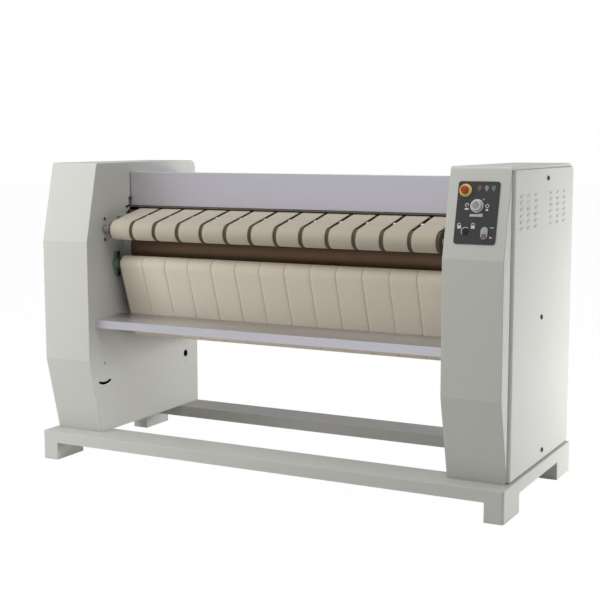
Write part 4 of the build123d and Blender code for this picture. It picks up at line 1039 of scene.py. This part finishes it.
class IRONER_OT_louvres(bpy.types.Operator):
    """Press a louvre over every vent slot of the covers"""

    bl_idname = "ironer.louvres"
    bl_label = "Louvres"

    def execute(self, context):
        s = context.scene.ironer_louvres
        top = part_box("right_side_cover")[1][2] - VENT_DROP
        for side, name in ((1, "right"), (-1, "left")):
            bm = bmesh.new()
            for y in VENT_COLUMNS:
                for row in range(s.rows):
                    face = facing((side * COVER_X, y, top - row * s.pitch), (side, 0, 0))
                    louvre(bm, face, s.length / MM, LOUVRE_HEIGHT, s.rise / MM)
            add_piece(f"{name}_louvres", bm, "paint", f"{name}_cover", crease=50)
        bm = bmesh.new()
        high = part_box("rear_cover")[1]
        for column in range(REAR_COLUMNS):
            for row in range(REAR_ROWS):
                x = (column - (REAR_COLUMNS - 1) / 2) * REAR_PITCH[0]
                z = high[2] - REAR_DROP - row * REAR_PITCH[1]
                louvre(bm, facing((x, high[1], z), (0, 1, 0)), *REAR_LOUVRE, columns=24)
        add_piece("rear_louvres", bm, "stainless", "root", crease=50)
        return {"FINISHED"}


# ---- electrics and motor ----
def bevelled_box(bm, low, high, bevel):
    """Box between two corners, with edges bevelled by millimetres."""
    middle = (Vector(low) + Vector(high)) / 2
    size = Vector(high) - Vector(low)
    matrix = Matrix.Translation(middle) @ Matrix.Diagonal((*size, 1))
    made = bmesh.ops.create_cube(bm, size=1, matrix=matrix)["verts"]
    edges = list(dict.fromkeys(edge for vert in made for edge in vert.link_edges))
    bmesh.ops.bevel(bm, geom=edges, offset=bevel * MM, segments=2, affect="EDGES", profile=0.5)


PANEL_REACH = 110 * MM  # from the mounting plate's face to the devices' fronts


class IRONER_OT_electrics(bpy.types.Operator):
    """Fit the electrical panel with its devices, and the motor with its terminal box"""

    bl_idname = "ironer.electrics"
    bl_label = "Electrics"

    def execute(self, context):
        low, high = (Vector(corner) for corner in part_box("electrical_panel"))
        face = high.x - PANEL_REACH
        self.corner = Vector((face, low.y, low.z))
        self.plate((high.y - low.y) / MM, (high.z - low.z) / MM, (face - low.x) / MM)
        self.wire_ducts()
        self.inverter()
        self.contactors()
        self.terminals()
        self.motor_box()
        return {"FINISHED"}

    def at(self, out, along, up):
        """Place on the plate, in millimetres out of it, along it and up from its corner."""
        return self.corner + Vector((out, along, up)) * MM

    def case(self, bm, low, high, bevel):
        """Box between two places on the plate."""
        bevelled_box(bm, self.at(*low), self.at(*high), bevel)

    def screw(self, bm, place, radius=4.5):
        """Pan screw whose axis points out of the plate."""
        pan_screw(bm, facing(self.at(*place), (1, 0, 0)), radius)

    def add(self, name, bm, finish, slot="black_plastic"):
        add_piece(name, bm, finish, "root", ["electrical_panel"], 30)

    def plate(self, width, height, depth):
        """Mounting plate on four posts, with two rails."""
        thickness, inset, post = 3, 15, 5
        reach = depth - thickness
        bm = bmesh.new()
        self.case(bm, (-thickness, 0, 0), (0, width, height), 0.5)
        for along in (inset, width - inset):
            for up in (inset, height - inset):
                turned(bm, [(0, 0), (post, 0), (post, reach), (0, reach)], 20,
                       facing(self.at(-depth, along, up), (1, 0, 0)))
                self.screw(bm, (0, along, up))
        for level, start, end in ((220, 185, 350), (42, 30, 330)):
            self.case(bm, (0, start, level), (7, end, level + 35), 0.3)
        self.add("panel_plate", bm, "steel", "steel")

    def wire_ducts(self):
        """Two slotted ducts with their covers."""
        bm = bmesh.new()
        for level, start, end in ((300, 10, 350), (100, 130, 350)):
            self.case(bm, (0, start, level), (40, end, level + 4), 0.3)
            self.case(bm, (0, start, level + 30), (40, end, level + 34), 0.3)
            self.case(bm, (40, start - 1, level - 1), (43, end + 1, level + 35), 0.8)
            for along in range(start + 2, end, 10):
                self.case(bm, (4, along, level - 0.6), (38, along + 5, level + 34.6), 0.2)
        self.add("wire_ducts", bm, "light_grey")

    def inverter(self):
        """Finned body with its front, then the display, six keys and terminals."""
        bm = bmesh.new()
        self.case(bm, (0, 32, 110), (100, 118, 290), 3)
        self.case(bm, (100, 34, 118), (106, 116, 282), 2.5)
        for out in range(18, 90, 8):
            self.case(bm, (out, 30, 125), (out + 3, 120, 275), 0.5)
        self.add("inverter_body", bm, "motor_grey")
        bm = bmesh.new()
        self.case(bm, (105, 48, 222), (107.5, 102, 262), 1)
        for up in (184, 200):
            for along in (50, 68, 86):
                self.case(bm, (105, along, up), (108.5, along + 13, up + 10), 1)
        for along in range(38, 112, 9):
            self.case(bm, (60, along, 109.4), (98, along + 6, 112), 0.4)
        self.add("inverter_keys", bm, "black_plastic")

    def contactors(self):
        """Three contactors, each with a tab in front and six terminal screws."""
        bodies, fronts, screws = bmesh.new(), bmesh.new(), bmesh.new()
        for near in (160, 215, 270):
            self.case(bodies, (7, near, 201), (58, near + 45, 275), 1.5)
            self.case(bodies, (56, near + 1, 214), (80, near + 44, 262), 1.5)
            self.case(fronts, (79, near + 12, 228), (84, near + 33, 250), 1)
            for along in (near + 9, near + 22.5, near + 36):
                for up in (206, 270):
                    self.screw(screws, (58, along, up), 3.6)
        self.add("contactor_bodies", bodies, "black_plastic")
        self.add("contactor_tabs", fronts, "light_grey")
        self.add("contactor_screws", screws, "steel", "steel")

    def terminals(self):
        """Row of terminals, of which every twelfth is green."""
        greys, greens, screws = bmesh.new(), bmesh.new(), bmesh.new()
        width = 7.4
        for i in range(35):
            bm = greens if i % 12 == 11 else greys
            near = 40 + 8 * i
            self.case(bm, (6, near, 40), (36, near + width, 80), 0.4)
            self.case(bm, (35, near, 50), (44.5, near + width, 70), 0.4)
            for up in (45, 75):
                self.screw(screws, (36, near + width / 2, up), 2.4)
        self.add("terminals_grey", greys, "light_grey")
        self.add("terminals_green", greens, "green_plastic", "green_plastic")
        self.add("terminal_screws", screws, "steel", "steel")

    def motor_box(self):
        """Terminal box on the gearmotor, with its lid and four screws."""
        low, high = (Vector(corner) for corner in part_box("gearmotor"))
        middle = Vector((high.x - 72 * MM, low.y + 70 * MM, low.z + 126 * MM))
        bm = bmesh.new()
        for start, end, bevel in (
            ((-34, -42, -20), (34, 42, 14), 4), ((-36, -44, 14), (36, 44, 20), 2.5),
        ):
            bevelled_box(bm, middle + Vector(start) * MM, middle + Vector(end) * MM, bevel)
        for x in (-29, 29):
            for y in (-37, 37):
                place = middle + Vector((x, y, 20)) * MM
                pan_screw(bm, facing(place, (0, 0, 1), (0, 1, 0)), 3.5)
        add_piece("motor_box", bm, "motor_grey", "root", crease=30)


# ---- controls ----
FLUTE_DEPTH = 0.9  # millimetres


class IRONER_OT_dial(bpy.types.Operator):
    """Turn the fluted dial, with its cap and pointer"""

    bl_idname = "ironer.dial"
    bl_label = "Dial"

    def execute(self, context):
        flutes = context.scene.ironer_controls.flutes
        place = on_plate(*DIAL_FROM_CORNER)
        radius, low, high = 25, 0.3, 16.3
        skirt = [
            (0, low), (radius - 0.5, low), (radius, low + 0.5), (radius, low + 3),
            (radius - 0.8, low + 4.2), (radius - 3.2, low + 5), (radius - 4, low + 6),
            (radius - 5.5, high - 1.2), (radius - 6.7, high), (radius - 9, high),
            (radius - 9.8, high - 0.8), (4, high - 1.1), (3, high - 1.8), (0, high - 1.9),
        ]
        bm = bmesh.new()
        made = turned(bm, skirt, flutes * 6)
        for vert in made:
            reach = vert.co.xy.length
            if low + 5.5 < vert.co.z < high - 1 and reach > 15:
                turn = math.atan2(vert.co.y, vert.co.x)
                vert.co.xy *= 1 - FLUTE_DEPTH / 2 * (1 - math.cos(turn * flutes)) / reach
        put(bm, place, made)
        add_piece("dial_knob", bm, "dial_silver", "dial", ["temperature_dial"], 30)
        bm = bmesh.new()
        cap = [(0, high - 1.5), (13.4, high - 1.5), (13.4, high - 0.7), (12.6, high - 0.4),
               (6, high - 0.7), (0, high - 0.8)]
        turned(bm, cap, 64, place)
        add_piece("dial_cap", bm, "dial_grey", "dial", crease=30)
        bm = bmesh.new()
        slab(bm, bar((0, radius - 3.6), (0, radius - 0.6), 1.6), low + 2, low + 5.2, place)
        slab(bm, bar((0, 5), (0, 13), 1.4), high - 1.4, high - 0.2, place)
        add_piece("dial_pointer", bm, "black_plastic", "dial")
        return {"FINISHED"}


class IRONER_OT_stop(bpy.types.Operator):
    """Turn the mushroom head of the emergency stop, with its arrows"""

    bl_idname = "ironer.stop"
    bl_label = "Emergency stop"

    def execute(self, context):
        place = on_plate(30, 34)
        base = 11
        head = [
            (0, base - 9), (7.8, base - 9), (7.8, base - 0.4), (13.6, base), (14.8, base + 1.2),
            (15, base + 3), (14.7, base + 7), (13.4, base + 10.6), (10.8, base + 12.8),
            (7, base + 13.8), (3, base + 14), (0, base + 14),
        ]
        bm = bmesh.new()
        turned(bm, head, 64, place)
        add_piece("stop_head", bm, "red_plastic", "stop", ["stop_button"], 40)
        bm = bmesh.new()
        for start in (20, 200):
            slab(bm, arc_strip(8.5, 1.2, start, start + 110), base + 12.6, base + 13.75, place)
            root = start + 106
            tip = [around(8.5, start + 122), around(6.7, root), around(10.3, root)]
            slab(bm, tip, base + 12.4, base + 13.6, place)
        add_piece("stop_arrows", bm, "red_plastic", "stop")
        return {"FINISHED"}


LAMPS = (  # millimetres across the plate, ink, outlines of the mark inside
    (82, "ink_brown", (bar((-4, 1), (4, 1), 1.2), bar((-2.4, -3), (2.4, -3), 1.2))),
    (109, "ink_grey", (bar((-3.6, -3.4), (3.2, 3.4), 1.2),)),
    (135, "ink_green", (arc_strip(2.8, 1, 0, 360),)),
)


def wheel_sign(across, down, end, width, height):
    """Sign beside the dial: a curl or a ring that ends at an angle, over a short bar."""
    outlines = (arc_strip(4.6, 2.2, -30, end), rounded(width, height, 1, (0, -11)))
    return on_plate(across, down, share=1.3), outlines


def lock_sign(across, down, tilt, end):
    """Padlock beside the key switch, tilted, with a shackle that ends at an angle."""
    outlines = (arc_strip(3.6, 1.5, 0, end, (0, 2.5)), rounded(9, 7.5, 1, (0, -2.6)))
    return on_plate(across, down, tilt, 1.6), outlines


def white_signs():
    """Places on the plate, each with the outlines that are printed there."""
    key = Matrix.Translation(joint_named("key_turn")["pos_m"]) @ SLOPE @ Matrix.Scale(MM, 4)
    signs = [
        wheel_sign(40, 88, 260, 11.6, 5),
        wheel_sign(117, 90, 320, 7.6, 5.6),
        (on_plate(*DIAL_FROM_CORNER), [bar(around(30, 48), around(37, 48), 2.6)]),
    ]
    steps = 20
    for i in range(steps):
        share = i / (steps - 1)
        height = 8.5 + 3 * share
        strip = rounded(2.1, height, 0.3, (0, height / 2), 2)
        signs.append((on_plate(54.5 + 47 * share, 130), [strip]))
    signs += [
        (key @ Matrix.Translation((0, 0, PLATE_THICKNESS)), [arc_strip(14.6, 2.6, 50, 225)]),
        lock_sign(17, 165, 12, 240),
        lock_sign(70, 164, 0, 180),
        (on_plate(142, 169), [bar((-7, 0), (7, 0), 2.6)]),
        (on_plate(139, 205), [rounded(6.5, 5.5, 1), bar((2, 0), (7, 0), 2.2)]),
    ]
    return signs


class IRONER_OT_plate_marks(bpy.types.Operator):
    """Print the generic signs and scales on the control plate"""

    bl_idname = "ironer.plate_marks"
    bl_label = "Plate marks"

    def execute(self, context):
        rise = context.scene.ironer_controls.mark_rise / MM
        self.lamps(rise)
        bm = bmesh.new()
        for place, outlines in white_signs():
            for outline in outlines:
                slab(bm, outline, 0, rise, place)
        add_piece("plate_marks", bm, "print_white")
        return {"FINISHED"}

    def lamps(self, rise):
        """Indicators: drops with their point down, and a dark mark inside each."""
        drop = [around(7.6, degrees) for degrees in range(-25, 206, 10)]
        drop += [(-2.6, -10), (0, -14), (2.6, -10)]
        for number, (across, ink, marks) in enumerate(LAMPS, 1):
            place = on_plate(across, 23)
            bm = bmesh.new()
            slab(bm, drop, 0, rise, place)
            add_piece(f"lamp_sign_{number}", bm, ink)
            bm = bmesh.new()
            for mark in marks:
                slab(bm, mark, 0, 2 * rise, place)
            add_piece(f"lamp_mark_{number}", bm, "control_dark")


# ---- stage ----
AMBIENT_COLOUR = (1.0, 0.99, 0.97)
FLOOR_COLOUR = (0.85, 0.85, 0.84)
FLOOR_RADIUS = 40
FLOOR_GLOW = 1.035  # makes the open floor as white as the world
FLOOR_WHITE_SHARE = 0.95  # for camera rays, so that the rest takes the shadows
SOFTBOXES = {  # place, what it points at, width and height, whether reflections show it
    "left": ((-1.9, -2.0, 2.05), (-0.8, -0.3, 0.9), (1.2, 1.0), False),
    "side": ((3.6, 1.75, 0.55), (0.6, 0.1, 0.55), (2.0, 1.0), False),
    "rear": ((2.2, 2.4, 0.4), (-0.85, -0.1, 0.35), (1.0, 0.6), False),
    "top": ((0.2, -0.9, 3.6), (0.2, -0.1, 0.8), (2.5, 1.5), True),
    "front": ((1.2, -2.2, 3.2), (0.6, -0.3, 1.0), (1.6, 1.0), False),
    "low": ((-2.3, -1.95, 0.3), (-0.95, -0.3, 0.3), (0.7, 0.5), False),
}


def softbox(name, power, place, aim, size, in_reflections):
    light = bpy.data.lights.new(name, "AREA")
    light.shape = "RECTANGLE"
    light.size, light.size_y = size
    light.energy = power
    lamp = bpy.data.objects.new(name, light)
    lamp.visible_glossy = in_reflections
    lamp.location = place
    lamp.rotation_euler = (Vector(aim) - Vector(place)).to_track_quat("-Z", "Y").to_euler()
    bpy.context.scene.collection.objects.link(lamp)


def light_path_mix(tree, kind, white, lit, s, share):
    """Mixes a share of white over the lit shader for camera rays.

    Glossy rays get the surroundings' colour over it, from a node of the given kind.
    """
    path = tree.nodes.new("ShaderNodeLightPath")
    studio = tree.nodes.new(kind)
    studio.inputs["Color"].default_value = (*s.surroundings, 1)
    shader = lit
    for ray, over, amount in (
        ("Is Glossy Ray", studio.outputs[0], s.reflected), ("Is Camera Ray", white, share),
    ):
        factor = tree.nodes.new("ShaderNodeMath")
        factor.operation = "MULTIPLY"
        factor.inputs[1].default_value = amount
        tree.links.new(path.outputs[ray], factor.inputs[0])
        mix = tree.nodes.new("ShaderNodeMixShader")
        tree.links.new(factor.outputs["Value"], mix.inputs["Fac"])
        tree.links.new(shader, mix.inputs[1])
        tree.links.new(over, mix.inputs[2])
        shader = mix.outputs["Shader"]
    return shader


class IRONER_OT_stage(bpy.types.Operator):
    """Set the floor, the soft light and the camera"""

    bl_idname = "ironer.stage"
    bl_label = "Stage"

    def execute(self, context):
        s = context.scene.ironer_stage
        self.make_camera(context, s)
        self.make_world(context, s)
        self.make_floor(s)
        for name, values in SOFTBOXES.items():
            softbox(f"{name}_softbox", getattr(s, f"{name}_power"), *values)
        context.scene.view_settings.view_transform = "Standard"
        return {"FINISHED"}

    def make_camera(self, context, s):
        camera = bpy.data.cameras.new("camera")
        camera.lens = s.camera_lens
        camera.sensor_width = 36
        camera.clip_end = 100
        holder = bpy.data.objects.new("camera", camera)
        yaw, pitch, roll = s.camera_yaw, s.camera_pitch, s.camera_roll
        forward = Vector((-math.sin(yaw) * math.cos(pitch), math.cos(yaw) * math.cos(pitch),
                          -math.sin(pitch)))
        right = Vector((math.cos(yaw), math.sin(yaw), 0))
        up = right.cross(forward)
        side = right * math.cos(roll) + up * math.sin(roll)
        top = up * math.cos(roll) - right * math.sin(roll)
        holder.matrix_world = (
            Matrix.Translation(s.camera_place)
            @ Matrix((side, top, -forward)).transposed().to_4x4()
        )
        context.scene.collection.objects.link(holder)
        context.scene.camera = holder

    def make_world(self, context, s):
        world = bpy.data.worlds.new("studio")
        world.use_nodes = True
        tree = world.node_tree
        tree.nodes.clear()
        output = tree.nodes.new("ShaderNodeOutputWorld")
        seen = tree.nodes.new("ShaderNodeBackground")
        seen.inputs["Color"].default_value = (1, 1, 1, 1)
        lit = tree.nodes.new("ShaderNodeBackground")
        lit.inputs["Color"].default_value = (*AMBIENT_COLOUR, 1)
        lit.inputs["Strength"].default_value = s.ambient
        shaders = (seen.outputs["Background"], lit.outputs["Background"])
        mixed = light_path_mix(tree, "ShaderNodeBackground", *shaders, s, 1.0)
        tree.links.new(mixed, output.inputs["Surface"])
        context.scene.world = world

    def make_floor(self, s):
        material = bpy.data.materials.new("floor")
        material.use_nodes = True
        tree = material.node_tree
        tree.nodes.clear()
        output = tree.nodes.new("ShaderNodeOutputMaterial")
        white = tree.nodes.new("ShaderNodeEmission")
        white.inputs["Strength"].default_value = FLOOR_GLOW
        lit = tree.nodes.new("ShaderNodeBsdfDiffuse")
        lit.inputs["Color"].default_value = (*FLOOR_COLOUR, 1)
        shaders = (white.outputs["Emission"], lit.outputs["BSDF"])
        mixed = light_path_mix(tree, "ShaderNodeEmission", *shaders, s, FLOOR_WHITE_SHARE)
        tree.links.new(mixed, output.inputs["Surface"])
        bm = bmesh.new()
        bmesh.ops.create_circle(bm, cap_ends=True, radius=FLOOR_RADIUS, segments=96)
        floor = bpy.data.objects.new("floor", finished_mesh("floor", bm, material, False))
        bpy.context.scene.collection.objects.link(floor)


# ---- sidebar and registration ----
OPERATORS = (
    IRONER_OT_stage,
    IRONER_OT_finishes,
    IRONER_OT_feed_belts,
    IRONER_OT_ironing_belts,
    IRONER_OT_chains,
    IRONER_OT_fittings,
    IRONER_OT_louvres,
    IRONER_OT_electrics,
    IRONER_OT_dial,
    IRONER_OT_stop,
    IRONER_OT_plate_marks,
)
SETTINGS = {
    "ironer_finish": FinishSettings,
    "ironer_belts": BeltSettings,
    "ironer_louvres": LouvreSettings,
    "ironer_controls": ControlSettings,
    "ironer_stage": StageSettings,
}


class IRONER_PT_sidebar(bpy.types.Panel):
    """Lists the steps that dress the machine."""

    bl_idname = "IRONER_PT_sidebar"
    bl_label = "Flatwork ironer"
    bl_space_type = "VIEW_3D"
    bl_region_type = "UI"
    bl_category = "Ironer"

    def draw(self, context):
        for operator in OPERATORS:
            self.layout.operator(operator.bl_idname)
        for name in SETTINGS:
            group = getattr(context.scene, name)
            box = self.layout.box()
            for key in group.__annotations__:
                box.prop(group, key)


def register():
    for group in SETTINGS.values():
        bpy.utils.register_class(group)
    for name, group in SETTINGS.items():
        setattr(bpy.types.Scene, name, PointerProperty(type=group))
    for operator in OPERATORS:
        bpy.utils.register_class(operator)
    bpy.utils.register_class(IRONER_PT_sidebar)


def unregister():
    bpy.utils.unregister_class(IRONER_PT_sidebar)
    for operator in reversed(OPERATORS):
        bpy.utils.unregister_class(operator)
    for name in SETTINGS:
        delattr(bpy.types.Scene, name)
    for group in reversed(SETTINGS.values()):
        bpy.utils.unregister_class(group)


def main():
    register()
    bpy.ops.ironer.stage()
    bpy.ops.ironer.finishes()
    bpy.ops.ironer.feed_belts()
    bpy.ops.ironer.ironing_belts()
    bpy.ops.ironer.chains()
    bpy.ops.ironer.fittings()
    bpy.ops.ironer.louvres()
    bpy.ops.ironer.electrics()
    bpy.ops.ironer.dial()
    bpy.ops.ironer.stop()
    bpy.ops.ironer.plate_marks()


if __name__ == "__main__":
    main()
